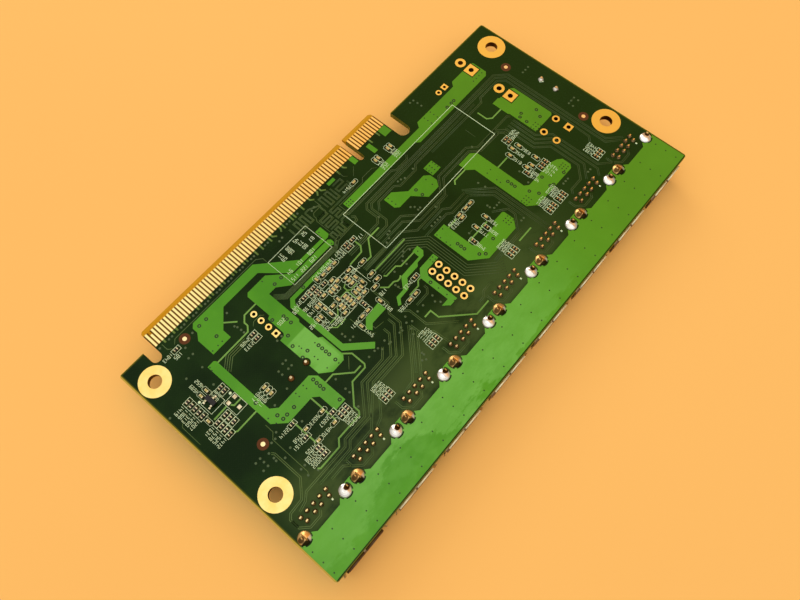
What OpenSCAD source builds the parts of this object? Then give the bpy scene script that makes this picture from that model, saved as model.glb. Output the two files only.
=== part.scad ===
// Riser card for a sixteen-lane expansion slot, with a row of eight stacked-lane cable sockets.
// The card lies with its solder side up, on the socket shells and two low capacitor cans.
// Origin: middle of the card's box, on the table. X runs along the sockets, Y to the edge contacts.

/* [Board] */
// length along the sockets (mm)
board_l = 139.4; // [120:0.1:180]
// width from the sockets' edge to the shoulder beside the contacts (mm)
board_w = 69.7; // [60:0.1:90]
// thickness of the laminate (mm)
board_t = 1.6; // [1:0.1:2.4]
// radius of the four outer corners (mm)
corner_r = 0.7; // [0.2:0.1:3]
// how far copper stays from the board's edge; y is counted from the copper's front (mm)
copper_inset = 0.4; // [0.2:0.1:1.5]
// thickness of copper and mask as drawn (mm)
copper_t = 0.05; // [0.03:0.01:0.1]

/* [Edge contacts] */
// pitch of the contacts (mm)
contact_pitch = 1; // [0.8:0.1:1.27]
// width of one contact (mm)
contact_w = 0.7; // [0.4:0.05:0.8]
// length of one contact (mm)
contact_len = 4.2; // [3:0.1:5]
// how far the tip of the late contact of each face stays back (mm)
contact_late = 1; // [0.5:0.05:3.5]
// contacts on the long side of the key
long_count = 71; // [7:1:71]
// contacts on the short side of the key
short_count = 11; // [11:1:11]
// distance between the two contacts beside the key (mm)
key_gap = 3; // [2.6:0.1:4]
// width of the key slot (mm)
key_w = 1.9; // [1.6:0.1:2.2]
// depth of the key slot from the tab's end (mm)
key_depth = 8.75; // [6:0.05:10]
// from the board's left edge to the first contact (mm)
contact_x = 11; // [9:0.1:20]
// tab edge beyond the outermost contact centre (mm)
tab_side = 0.65; // [0.5:0.05:1.5]
// how far the tab stands out of the board (mm)
tab_h = 4.6; // [3:0.1:9]
// bare bevelled strip at the tab's end (mm)
bevel_len = 1.5; // [0.8:0.1:2]
// depth of the bevel on each face (mm)
bevel_t = 0.45; // [0.2:0.05:0.6]
// width of the relief slot on the long side (mm)
relief_l_w = 2.85; // [2:0.05:4]
// depth of that relief slot from the shoulder (mm)
relief_l_depth = 4.45; // [3:0.05:7]
// width of the relief slot on the short side (mm)
relief_s_w = 3.8; // [2:0.05:6]
// depth of that relief slot from the shoulder (mm)
relief_s_depth = 8.1; // [4:0.05:10]

/* [Mounting holes] */
// hole centre from the board's end (mm)
hole_inset = 4.7; // [4.4:0.05:6]
// lower hole row from the copper's front (mm)
hole_y = 22.25; // [18.5:0.05:27]
// upper hole row from the shoulder beside the contacts (mm)
hole_top = 7.35; // [5:0.05:9]
// bore of a hole (mm)
hole_d = 3.5; // [2.5:0.1:4.5]
// outer diameter of its bare ring (mm)
ring_d = 8; // [6:0.1:9]

/* [Sockets] */
// number of sockets
socket_count = 8; // [2:1:8]
// middle of the outer sockets from the board's ends (mm)
socket_inset = 8.8; // [8.6:0.1:12]
// inner width of a shell (mm)
mouth_w = 12.5; // [12.4:0.05:12.7]
// inner height of a shell (mm)
mouth_h = 5.12; // [5.1:0.02:5.4]
// sheet thickness of a shell (mm)
sheet_t = 0.3; // [0.2:0.05:0.4]
// back of a shell behind its five-pin row (mm)
shell_back = 1.9; // [1.2:0.1:4]
// how far the lips stand in front of the copper (mm)
lip_over = 0.7; // [0.5:0.1:3]
// flare of the lips (mm)
lip_flare = 0.64; // [0.3:0.02:0.9]
// shield leg row from the copper's front (mm)
shield_y = 11.1; // [9:0.05:13]
// four-pin row from the copper's front (mm)
row_a_y = 13.1; // [11.5:0.05:14]
// five-pin row from the copper's front (mm)
row_b_y = 14.6; // [13.8:0.05:15.6]
// distance between the two shield legs (mm)
shield_dx = 13.14; // [12.9:0.02:13.4]

/* [Solder and holes] */
// diameter of a shield joint (mm)
shield_pad_d = 3.2; // [2.6:0.1:3.4]
// diameter of a signal joint (mm)
pin_pad_d = 1.25; // [0.9:0.05:1.4]
// clearance between a pad and the pour around it (mm)
pour_gap = 0.3; // [0.15:0.05:0.5]
// pitch of the empty pin headers (mm)
header_pitch = 2.54; // [2:0.01:2.54]

/* [Two-lead capacitors] */
// diameter of a can (mm)
can_d = 8; // [6:0.1:9]
// lead spacing (mm)
can_pitch = 5.1; // [3.5:0.1:6]

/* [Hidden] */
$fn = 40;
eps = 0.01;
// length and width of the board that the copper was read from
drawn = [139.4, 69.7];
shell_h = mouth_h + 2 * sheet_t;
stand_h = shell_h + 2 * lip_flare;
shell_w = mouth_w + 2 * sheet_t;
shell_len = lip_over + row_b_y + shell_back;
shoulder = board_w - copper_inset;
tab_end = shoulder + tab_h;
y_mid = (tab_end - lip_over) / 2;
z_top = stand_h + board_t;
key_x = contact_x + (long_count - 1) * contact_pitch + key_gap / 2;
short_x = key_x + key_gap / 2;
last_x = short_x + (short_count - 1) * contact_pitch;
tab_x0 = contact_x - tab_side;
tab_x1 = last_x + tab_side;
socket_pitch = (board_l - 2 * socket_inset) / (socket_count - 1);
socket_x0 = socket_inset;
hole_dx = board_l - 2 * hole_inset;
hole_dy = shoulder - hole_y - hole_top;
row_a = [-3.5, -1, 1, 3.5];
row_b = [-4, -2, 0, 2, 4];
pin_t = 0.3;
pin_up = 0.75;
pin_hole = 0.95;
shield_hole = 2.3;
grow_l = board_l - drawn[0];
grow_w = board_w - drawn[1];
can_h = stand_h;
can_1 = [28.7, 37.95];
can_2 = [134.57, 41.68];
lead_d = 0.65;
fiducial_d = 1.1;
hdr_big = [69, 19.88];
hdr_four = [31.84, 48.5];
hdr_two = [112.4, 63.4];
term_1 = [124.45, 61.3];
term_2 = [124.5, 47.45];
supply = [120.83, 28.97];
chip_at = [51, 43];
chip_w = 19;

// layout frame: x from the board's left edge, y from the copper's front, z from the table
module layout() {
    translate([-board_l / 2, -y_mid, 0])
        children();
}

// groups that stay with the right-hand edge, the middle or the contacts' edge when the board grows
module right_group() {
    translate([grow_l, 0, 0])
        children();
}

module middle_group() {
    translate([grow_l / 2, 0, 0])
        children();
}

module upper_group() {
    translate([0, grow_w, 0])
        children();
}

module on_top() {
    translate([0, 0, z_top])
        children();
}

// a plate drawn on the solder side
module plate(t = copper_t) {
    on_top()
        linear_extrude(t)
            children();
}

// a flat strip of even width along a list of points, its corners mitred
function heading(a, b) = (b - a) / norm(b - a);
function left_of(d) = [-d[1], d[0]];
function mitre(p, q) = (p + q) / (1 + p * q);
function side_normal(pts, i) = left_of(heading(pts[i], pts[i + 1]));
function side_offset(pts, i) =
    i == 0 ? side_normal(pts, 0)
    : i == len(pts) - 1 ? side_normal(pts, i - 1)
    : mitre(side_normal(pts, i - 1), side_normal(pts, i));

module strip(pts, w) {
    left = [for (i = [0 : len(pts) - 1]) pts[i] + side_offset(pts, i) * w / 2];
    right = [for (i = [len(pts) - 1 : -1 : 0]) pts[i] - side_offset(pts, i) * w / 2];
    polygon(concat(left, right));
}

module round_slot(w, depth) {
    translate([-w / 2, -depth + w / 2])
        square([w, depth - w / 2 + 1]);
    translate([0, -depth + w / 2])
        circle(d = w);
}

// positions that several pieces share
module at_holes() {
    for (sx = [-1, 1], sy = [0, 1])
        translate([board_l / 2 + sx * hole_dx / 2, hole_y + sy * hole_dy])
            children();
}

module at_sockets() {
    for (i = [0 : socket_count - 1])
        translate([socket_x0 + i * socket_pitch, 0])
            children();
}

module at_shield_legs() {
    at_sockets()
        for (s = [-1, 1])
            translate([s * shield_dx / 2, shield_y])
                children();
}

module at_socket_pins() {
    at_sockets() {
        for (x = row_a)
            translate([x, row_a_y])
                children();
        for (x = row_b)
            translate([x, row_b_y])
                children();
    }
}

module at_can_leads() {
    for (s = [-1, 1])
        translate([can_1[0] + s * can_pitch / 2, can_1[1]])
            children();
    for (s = [-1, 1])
        translate([can_2[0] + grow_l, can_2[1] + s * can_pitch / 2])
            children();
}

module at_header_two_row() {
    middle_group()
        for (i = [0, 1], j = [0 : 4])
            translate([hdr_big[0] + i * header_pitch, hdr_big[1] + j * header_pitch])
                children();
}

module at_header_four_way() {
    upper_group()
        for (j = [0 : 3])
            translate([hdr_four[0], hdr_four[1] + j * header_pitch])
                children();
}

module at_jumper() {
    right_group()
        upper_group()
            for (i = [0, 1])
                translate([hdr_two[0] + i * header_pitch, hdr_two[1]])
                    children();
}

module at_fiducials() {
    translate([16.54, 64.4 + grow_w])
        children();
    translate([10.83, 32.2])
        children();
    translate([131.64 + grow_l, 54.4 + grow_w])
        children();
    translate([132 + grow_l, 27.9])
        children();
}

module at_terminals(round_one) {
    right_group()
        upper_group()
            for (p = [term_1, term_2])
                translate([p[0], p[1] + (round_one ? 3.92 : 0)])
                    children();
}

module at_supply() {
    right_group()
        for (i = [0, 1], j = [0, 1])
            translate([supply[0] + i * 5.6, supply[1] + j * 4.25])
                children();
}

// board
module board_outline() {
    difference() {
        union() {
            difference() {
                translate([0, -copper_inset])
                    square([board_l, board_w]);
                for (x = [0, 1], y = [0, 1])
                    translate([x * board_l, y * board_w - copper_inset])
                        mirror([x, 0])
                            mirror([0, y])
                                difference() {
                                    translate([-1, -1])
                                        square(corner_r + 1);
                                    translate([corner_r, corner_r])
                                        circle(r = corner_r);
                                }
            }
            translate([0, shoulder - 1])
                polygon([
                    [tab_x0, 0], [tab_x1, 0], [tab_x1, tab_h + 0.4], [tab_x1 - 0.6, tab_h + 1],
                    [tab_x0 + 0.6, tab_h + 1], [tab_x0, tab_h + 0.4]
                ]);
        }
        translate([key_x, tab_end])
            round_slot(key_w, key_depth);
        translate([tab_x0 - relief_l_w / 2, shoulder])
            round_slot(relief_l_w, relief_l_depth);
        translate([tab_x1 + relief_s_w / 2, shoulder])
            round_slot(relief_s_w, relief_s_depth);
    }
}

module board_bores() {
    at_holes()
        circle(d = hole_d + 0.3);
    at_shield_legs()
        circle(d = shield_hole, $fn = 24);
    at_socket_pins()
        circle(d = pin_hole, $fn = 16);
    at_can_leads()
        circle(d = pin_hole, $fn = 16);
    at_header_two_row()
        circle(d = 1.2, $fn = 20);
    at_header_four_way()
        circle(d = 1.1, $fn = 20);
    at_jumper()
        circle(d = 1.1, $fn = 20);
    at_terminals(true)
        circle(d = 1.7, $fn = 24);
    at_terminals(false)
        circle(d = 1.7, $fn = 24);
    at_supply()
        circle(d = 1.4, $fn = 24);
}

module bevel_cut() {
    translate([tab_x0 - 1, tab_end, 0])
        rotate([90, 0, 90])
            linear_extrude(tab_x1 - tab_x0 + 2)
                polygon([[-bevel_len, 0], [eps, bevel_t], [1, bevel_t], [1, -1], [-bevel_len, -1]]);
}

module board() {
    color([0.13, 0.2, 0.1])
        layout()
            difference() {
                translate([0, 0, stand_h])
                    linear_extrude(board_t)
                        difference() {
                            board_outline();
                            board_bores();
                        }
                translate([0, 0, stand_h])
                    bevel_cut();
                translate([0, 0, z_top])
                    mirror([0, 0, 1])
                        bevel_cut();
            }
}

// edge contacts
module contact_row(late) {
    tip = tab_end - bevel_len;
    for (i = [0 : long_count - 1])
        translate([contact_x + i * contact_pitch - contact_w / 2, tip - contact_len])
            square([contact_w, contact_len - (i == late ? contact_late : 0)]);
    for (i = [0 : short_count - 1])
        translate([short_x + i * contact_pitch - contact_w / 2, tip - contact_len])
            square([contact_w, contact_len - (i + long_count == late ? contact_late : 0)]);
}

module contacts_solder_side() {
    color([0.95, 0.75, 0.3])
        layout()
            plate()
                contact_row(1);
}

module contacts_part_side() {
    color([0.95, 0.75, 0.3])
        layout()
            translate([0, 0, stand_h - copper_t])
                linear_extrude(copper_t)
                    contact_row(long_count + short_count - 1);
}

// a plated hole: a pad on each face joined by the barrel
module plated_hole(pad, bore, wall, square_pad = false) {
    translate([0, 0, stand_h - copper_t])
        linear_extrude(board_t + 2 * copper_t)
            difference() {
                circle(d = bore + 2 * wall, $fn = 24);
                circle(d = bore, $fn = 24);
            }
    for (z = [stand_h - copper_t, z_top])
        translate([0, 0, z])
            linear_extrude(copper_t)
                difference() {
                    if (square_pad)
                        square(pad, center = true);
                    else
                        circle(d = pad, $fn = 32);
                    circle(d = bore, $fn = 24);
                }
}

module mounting_rings() {
    color([0.92, 0.72, 0.3])
        layout()
            at_holes()
                plated_hole(ring_d, hole_d, 0.15);
}

module header_two_row() {
    color([0.92, 0.72, 0.3])
        layout()
            at_header_two_row()
                plated_hole(1.9, 1, 0.1);
}

module header_four_way() {
    color([0.92, 0.72, 0.3])
        layout()
            upper_group()
                for (j = [0 : 3])
                    translate([hdr_four[0], hdr_four[1] + j * header_pitch])
                        plated_hole(j == 0 ? 1.65 : 1.7, 0.9, 0.1, j == 0);
}

module jumper_pads() {
    color([0.92, 0.72, 0.3])
        layout()
            right_group()
                upper_group()
                    for (i = [0, 1])
                        translate([hdr_two[0] + i * header_pitch, hdr_two[1]])
                            plated_hole(1.75, 0.9, 0.1, i == 1);
}

module power_pads() {
    color([0.92, 0.72, 0.3])
        layout() {
            at_terminals(true)
                plated_hole(3.1, 1.5, 0.1);
            at_terminals(false)
                plated_hole(3.2, 1.5, 0.1, true);
        }
}

module supply_pads() {
    color([0.92, 0.72, 0.3])
        layout()
            right_group()
                for (i = [0, 1], j = [0, 1])
                    translate([supply[0] + i * 5.6, supply[1] + j * 4.25])
                        plated_hole(2.15, 1.2, 0.1, i == 1 && j == 0);
}

// pours under the mask on the solder side
module pour_clearance() {
    at_shield_legs()
        difference() {
            circle(d = shield_pad_d + 2 * pour_gap);
            for (a = [45, 135])
                rotate(a)
                    square([shield_pad_d + 2, 0.5], center = true);
        }
    at_shield_legs()
        circle(d = shield_pad_d);
    at_socket_pins()
        circle(d = pin_pad_d + 2 * pour_gap, $fn = 20);
    at_can_leads()
        circle(d = 1.7 + 2 * pour_gap, $fn = 24);
    at_header_two_row()
        circle(d = 1.9 + 2 * pour_gap, $fn = 24);
    at_header_four_way()
        square(1.7 + 2 * pour_gap, center = true);
    at_terminals(true)
        circle(d = 3.1 + 2 * pour_gap, $fn = 24);
    at_terminals(false)
        square(3.2 + 2 * pour_gap, center = true);
    at_supply()
        circle(d = 2.2 + 2 * pour_gap, $fn = 24);
    at_holes()
        circle(d = ring_d + 2 * pour_gap);
    at_fiducials()
        circle(d = fiducial_d + 5 * pour_gap, $fn = 24);
}

module ground_pour() {
    low = 9.9;
    high = 12.4;
    reach = (socket_pitch - shield_dx) / 2 + 2;
    color([0.36, 0.56, 0.16])
        layout()
            plate()
                difference() {
                    union() {
                        translate([copper_inset, 0])
                            square([board_l - 2 * copper_inset, low]);
                        intersection() {
                            translate([copper_inset, 0])
                                square([board_l - 2 * copper_inset, high]);
                            for (i = [0 : socket_count]) {
                                top = i % socket_count == 0 ? low + 0.9 : high;
                                translate([socket_x0 + (i - 0.5) * socket_pitch, 0])
                                    polygon([
                                        [-reach - 1, low - 1], [reach + 1, low - 1],
                                        [reach + 1, low], [reach, low + 0.9], [0.75, top],
                                        [-0.75, top], [-reach, low + 0.9], [-reach - 1, low]
                                    ]);
                            }
                        }
                    }
                    pour_clearance();
                }
}

module upper_pours() {
    polygon([
        [20.6, 65.8], [41.1, 65.8], [49.8, 57.6], [58, 57.5], [58, 60], [59.9, 60], [59.9, 57],
        [59, 56.5], [45.9, 56.5], [40.3, 63.2], [28.4, 63.2], [24.1, 58.8], [24.1, 56.2],
        [18.3, 56.2], [18.3, 61.5], [19.6, 63.2], [19.6, 64.8]
    ]);
    polygon([
        [34.9, 61.3], [41, 61.3], [46.1, 56.1], [58.5, 56.1], [59.1, 55.5], [59.1, 54.5],
        [58.5, 54], [57.7, 54.4], [43.4, 54.4], [40.4, 57], [38.1, 57], [38.1, 46.8],
        [37.6, 46.2], [37.6, 40], [38.5, 39.3], [38.5, 32.6], [37.5, 31.5], [33.7, 31.5],
        [31.2, 33.8], [31.2, 46.5], [32.6, 46.6], [33.1, 47.2], [33.2, 52.6], [34.1, 53],
        [34.1, 60.5]
    ]);
    polygon([
        [38.9, 50.4], [40.6, 52.2], [54.9, 52.2], [54.9, 51.1], [41.2, 51.1], [40.4, 50.2],
        [40.4, 34.4], [45.8, 28.8], [44.5, 27.7], [38.9, 33.4]
    ]);
}

module lower_pours() {
    polygon([
        [15.2, 55], [17.2, 55], [17.6, 54.5], [17.6, 36.8], [19.2, 35.3], [29.3, 35.3],
        [30.7, 33.6], [30.7, 24.8], [27.3, 24.8], [27.3, 29.8], [26, 31.1], [18.1, 31.1],
        [15.2, 34.1]
    ]);
}

module middle_pours() {
    polygon([
        [46.7, 32.6], [49, 34.6], [53.9, 34.9], [53.9, 32.4], [49, 32.4], [47.6, 31.2]
    ]);
    polygon([
        [56.4, 30.5], [57.9, 32.4], [60.4, 32.4], [62.9, 35.1], [69.9, 35.2], [70, 37.4],
        [72, 37.5], [72, 35.5], [70.9, 34.5], [68.4, 34.4], [67.7, 33.7], [63.6, 33.7],
        [61.4, 31.5], [58.3, 31.4], [57.2, 30.2]
    ]);
    polygon([
        [63.4, 22.4], [65.7, 22.4], [65.7, 31.2], [67.6, 33], [72.9, 33], [72.9, 31.3],
        [68.6, 31.3], [67.4, 30], [67.4, 20.8], [64.9, 20.8]
    ]);
    polygon([
        [77.1, 36.2], [81.2, 36.2], [81.2, 26.9], [81.9, 26], [90, 26], [90, 26.9], [93.7, 26.9],
        [94.1, 26.5], [94.1, 23.4], [92.2, 21.4], [81.1, 21.4], [77.1, 25.1]
    ]);
    polygon([
        [97.6, 44.4], [102.3, 44.4], [103.7, 43], [103.7, 27.3], [104.8, 26.3], [113.5, 26.3],
        [115.9, 25.4], [117.1, 24.3], [117.1, 21.8], [116.2, 20.9], [101.4, 21], [99.2, 23.1],
        [99.2, 40.2], [97.6, 41.9]
    ]);
}

module contact_side_pours() {
    polygon([
        [76.6, 52.7], [79.5, 52.7], [82.7, 49.5], [88.9, 49.5], [90.2, 48.2], [90.2, 45.9],
        [88.9, 44.3], [84.9, 44.3], [82, 48.1], [77.6, 48.1], [76.6, 49.1]
    ]);
    translate([90.6, 47.6])
        square([3.3, 3.3]);
    for (b = [[70.4, 66.5, 2.5, 1], [79.7, 65.7, 1.5, 2.4], [85.8, 64, 1.4, 3.2], [91.7, 65.3, 2.6, 2.8]])
        translate([b[0], b[1]])
            square([b[2], b[3]]);
}

module right_pours() {
    polygon([
        [68.8, 60.1], [99.8, 60.1], [100.9, 61.6], [116.6, 61.6], [117.7, 62.9], [126.2, 62.9],
        [126.7, 62.4], [126.7, 57.8], [125.6, 56.9], [96.5, 56.8], [95.5, 57.8], [68.8, 57.8]
    ]);
    polygon([
        [119.2, 49.6], [121.6, 49.6], [121.9, 49.2], [126.3, 49.2], [127.3, 48.2], [127.3, 35.4],
        [126.7, 34.9], [119.5, 34.9], [119.5, 43.8], [119.2, 44.3]
    ]);
}

module power_pours() {
    color([0.36, 0.56, 0.16])
        layout()
            plate()
                difference() {
                    pour_shapes();
                    pour_clearance();
                    chip_marks();
                }
}

// wide bright tracks between the pours
module track_paths() {
    strip([[17.4, 54], [27.7, 54], [28.8, 55.2], [28.8, 56.3], [30.2, 57.7], [34.2, 57.7]], 0.4);
    strip([[25.4, 60.3], [27.9, 57.8]], 0.4);
    strip([[7.5, 44.7], [11.6, 44.8]], 0.4);
    strip([[12.4, 44.3], [12.9, 43.6], [15.4, 43.6]], 0.4);
    strip([[8.5, 39.1], [9.2, 38.7], [15.4, 38.7]], 0.4);
    strip([[30.6, 31.1], [33.2, 31.1], [36.9, 27.5], [39.1, 27.5]], 0.4);
    strip([
        [38.4, 32.9], [40, 31.1], [40, 27.1], [39.4, 26.4], [34.9, 26.4], [30.7, 22.1],
        [30.7, 20.6], [30.1, 19.9], [23, 19.9], [21.6, 18.5], [15.4, 18.5], [14.9, 19]
    ], 0.4);
    strip([[18.95, 31.3], [18.95, 23.1]], 0.4);
    strip([[25.7, 31.3], [25.7, 23.1]], 0.4);
}

module middle_track_paths() {
    strip([[57, 47], [61.5, 47.2], [62.7, 48.5], [62.7, 50.4]], 0.4);
    strip([[60.6, 44.5], [62.1, 44.5], [65.5, 48.4], [69.6, 48.4]], 0.4);
    strip([[59.6, 41.2], [71.4, 41.2]], 0.4);
    strip([[60.2, 38.6], [60.6, 38], [64.1, 38], [65, 37], [70.2, 37]], 0.4);
    strip([[57.2, 37.2], [58.6, 35.6], [60.6, 35.6], [61.4, 35], [62.3, 35], [63, 35.4]], 0.4);
    strip([[60.4, 30.2], [63.7, 30.2], [64.8, 31.2], [66, 31.2]], 0.4);
    strip([[58.4, 23.7], [60.6, 23.7], [60.6, 21.2], [67.3, 14.5], [71.9, 14.5]], 0.4);
    strip([[81, 34.7], [84.6, 34.7]], 0.4);
    strip([[81, 28.2], [89, 28.2]], 0.4);
    strip([[103.5, 35.9], [107.8, 35.9]], 0.4);
    strip([[97.8, 42.2], [93.1, 42.2], [92.2, 41.3]], 0.4);
    strip([[42.2, 40.2], [45, 40.2], [46.4, 41.6]], 0.3);
    strip([[41.2, 39.8], [42.6, 38.2], [45.6, 38.2]], 0.3);
    strip([[49, 42.9], [51.4, 42.9], [52, 42.3], [54.4, 42.3]], 0.3);
    strip([[51.2, 42.7], [51.2, 40], [51.6, 39.7]], 0.3);
    strip([[51.4, 42.9], [51.4, 44], [52.2, 44.4]], 0.3);
}

module right_track_paths() {
    strip([[119.4, 46.7], [115.3, 46.7], [114.1, 47.8], [114.1, 50.9]], 0.4);
    strip([[89.9, 18.5], [94.9, 18.5]], 0.4);
}

module pour_shapes() {
    upper_group()
        upper_pours();
    lower_pours();
    middle_group()
        middle_pours();
    upper_group()
        contact_side_pours();
    right_group()
        upper_group()
            right_pours();
}

module power_traces() {
    color([0.42, 0.6, 0.22])
        layout()
            plate(copper_t * 0.8)
                difference() {
                    union() {
                        track_paths();
                        middle_group()
                            middle_track_paths();
                        right_group()
                            right_track_paths();
                    }
                    pour_shapes();
                    pour_clearance();
                    chip_marks();
                }
}

module fiducials() {
    color([0.95, 0.78, 0.35])
        layout()
            plate()
                at_fiducials()
                    circle(d = fiducial_d);
}

module bare_pads() {
    color([0.8, 0.74, 0.6])
        layout()
            plate()
                for (p = [[12.4, 45], [14.4, 45], [13.4, 42.4]])
                    translate(p)
                        square(0.9, center = true);
}

// sockets: local x from the socket's middle, y from the copper's front
module lip_strip(len) {
    translate([-len / 2, 0, 0])
        rotate([90, 0, 90])
            linear_extrude(len)
                polygon([
                    [0.7, -sheet_t], [0.7, 0], [0, lip_flare], [0, lip_flare - sheet_t]
                ]);
}

// a cantilever spring bent into the mouth from the far end of its window
module spring_leaf() {
    rotate([90, 0, 90])
        linear_extrude(1.6)
            polygon([
                [5.2, 0], [5.2, sheet_t], [2.4, sheet_t + 0.55], [1, sheet_t + 0.2], [1, 0.2],
                [2.4, 0.55]
            ]);
}

module shell_body() {
    back = shell_len - lip_over;
    difference() {
        translate([-shell_w / 2, 0.7 - lip_over, lip_flare])
            cube([shell_w, shell_len - 0.7, shell_h]);
        translate([-mouth_w / 2, -1, lip_flare + sheet_t])
            cube([mouth_w, back - sheet_t + 1, mouth_h]);
        translate([-mouth_w / 2, 9.6, lip_flare + sheet_t])
            cube([mouth_w, back - 9.6 - sheet_t, shell_h]);
        for (x = [-3.2, 3.2], z = [lip_flare - 1, lip_flare + shell_h - sheet_t])
            translate([x - 1.1, 1.9, z])
                cube([2.2, 4.2, sheet_t + 1]);
        for (s = [-1, 1])
            translate([s * shell_w / 2 - 0.5, 3, stand_h / 2 - 0.8])
                cube([1, 3.4, 1.6]);
    }
    for (x = [-3.2, 3.2]) {
        translate([x - 0.8, 0.9, lip_flare])
            spring_leaf();
        translate([x + 0.8, 0.9, lip_flare + shell_h])
            rotate([0, 180, 0])
                spring_leaf();
    }
}

module socket_shell(i) {
    color([0.78, 0.78, 0.76])
        layout()
            translate([socket_x0 + (i - 1) * socket_pitch, 0, 0]) {
                shell_body();
                for (s = [-1, 1]) {
                    translate([s * 3.05, -lip_over, lip_flare + shell_h])
                        lip_strip(5.5);
                    translate([s * mouth_w / 2 + (s > 0 ? 0 : -sheet_t), shield_y - 0.9, stand_h - 1.5])
                        cube([sheet_t, 1.8, board_t + 2.3]);
                    translate([s * shell_w / 2, -lip_over, stand_h / 2])
                        rotate([0, s * 90, 0])
                            lip_strip(4.2);
                }
                translate([0, -lip_over, lip_flare])
                    rotate([0, 180, 0])
                        lip_strip(11.4);
            }
}

module contact_a() {
    z = lip_flare + sheet_t + 2.82;
    tip = z_top + pin_up;
    translate([-0.3, 0, 0])
        rotate([90, 0, 90])
            linear_extrude(0.6)
                polygon([
                    [4.6, z], [row_a_y + pin_t / 2, z], [row_a_y + pin_t / 2, tip],
                    [row_a_y - pin_t / 2, tip], [row_a_y - pin_t / 2, z + 0.2], [4.6, z + 0.2]
                ]);
}

module contact_b() {
    z = lip_flare + sheet_t + 2.82;
    tip = z_top + pin_up;
    translate([-0.3, 0, 0])
        rotate([90, 0, 90])
            linear_extrude(0.6)
                polygon([
                    [1.6, z], [1.6, z + 0.2], [3.8, z + 0.2], [3.8, z - 0.76],
                    [row_b_y - pin_t / 2, z - 0.76], [row_b_y - pin_t / 2, tip],
                    [row_b_y + pin_t / 2, tip], [row_b_y + pin_t / 2, z - 0.96], [3.6, z - 0.96],
                    [3.6, z]
                ]);
}

module contact_set() {
    for (x = row_a)
        translate([x, 0, 0])
            contact_a();
    for (x = row_b)
        translate([x, 0, 0])
            contact_b();
}

module socket_insulator(i) {
    low = lip_flare + sheet_t;
    back = shell_len - lip_over - sheet_t;
    color([0.12, 0.2, 0.5])
        layout()
            translate([socket_x0 + (i - 1) * socket_pitch, 0, 0])
                difference() {
                    union() {
                        translate([-mouth_w / 2, 10.2, low])
                            cube([mouth_w, back - 10.2, stand_h - low]);
                        translate([-5.55, 1.2, low + 0.98])
                            cube([11.1, 9.1, 1.84]);
                    }
                    contact_set();
                }
}

module socket_contacts(i) {
    color([0.9, 0.72, 0.34])
        layout()
            translate([socket_x0 + (i - 1) * socket_pitch, 0, 0])
                contact_set();
}

// solder: it fills the bore and rises round the lead
module solder_joint(pad, bore, rise) {
    translate([0, 0, z_top])
        rotate_extrude()
            polygon([
                [0, -board_t], [bore / 2, -board_t], [bore / 2, 0], [pad / 2, 0],
                [pad * 0.44, rise * 0.3], [pad * 0.32, rise * 0.65], [pad * 0.2, rise * 0.92],
                [pad * 0.1, rise], [0, rise]
            ]);
}

module shield_solder() {
    color([0.8, 0.8, 0.78])
        layout()
            difference() {
                at_shield_legs()
                    solder_joint(shield_pad_d, shield_hole, 0.7);
                at_sockets()
                    for (s = [-1, 1])
                        translate([s * mouth_w / 2 + (s > 0 ? 0 : -sheet_t), shield_y - 0.9, stand_h - 1])
                            cube([sheet_t, 1.8, board_t + 3]);
            }
}

module pin_solder() {
    color([0.75, 0.7, 0.6])
        layout()
            at_sockets() {
                for (x = row_a)
                    translate([x, row_a_y, 0])
                        difference() {
                            solder_joint(pin_pad_d, pin_hole, 0.65);
                            translate([-0.3, -pin_t / 2, stand_h - 1])
                                cube([0.6, pin_t, board_t + 3]);
                        }
                for (x = row_b)
                    translate([x, row_b_y, 0])
                        difference() {
                            solder_joint(pin_pad_d, pin_hole, 0.65);
                            translate([-0.3, -pin_t / 2, stand_h - 1])
                                cube([0.6, pin_t, board_t + 3]);
                        }
            }
}

module lead_solder() {
    color([0.8, 0.8, 0.78])
        layout()
            at_can_leads()
                difference() {
                    solder_joint(1.7, pin_hole, 0.7);
                    translate([0, 0, stand_h - 1])
                        cylinder(d = lead_d, h = board_t + 3, $fn = 20);
                }
}

// chip parts on the solder side: one row or block of parts is [x, y, columns, rows, dx, dy, angle]
resistor_blocks = [
    [6.35, 47.25, 1, 5, 0, 1.27, 0], [13.7, 47.8, 1, 2, 0, 1.2, 0], [7.6, 40.85, 2, 3, 2.5, 1.32, 0],
    [7.6, 39.5, 1, 1, 0, 0, 0], [28, 51.1, 1, 2, 0, 1.45, 0], [13.3, 63.9, 1, 1, 0, 0, 0],
    [18.4, 19.95, 1, 3, 0, 1.05, 0], [18.4, 25.75, 1, 1, 0, 0, 0], [18.4, 30.2, 1, 1, 0, 0, 0],
    [27.2, 23.2, 3, 1, 1.1, 0, 90], [26.3, 25, 1, 1, 0, 0, 0], [65, 32.3, 1, 1, 0, 0, 0],
    [36.6, 18, 3, 1, 1.1, 0, 90], [53.9, 18.1, 3, 1, 1.15, 0, 90], [43, 49.6, 1, 1, 0, 0, 0],
    [44.6, 49.2, 1, 1, 0, 0, 90], [46.2, 48.4, 1, 2, 0, 1.2, 0],
    [48.8, 48.4, 1, 1, 0, 0, 0], [46.2, 47.4, 1, 1, 0, 0, 0], [51.3, 37.2, 1, 1, 0, 0, 90],
    [60.4, 50.3, 1, 2, 0, 1.2, 0], [62.6, 51.2, 1, 1, 0, 0, 0]
];
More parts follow.
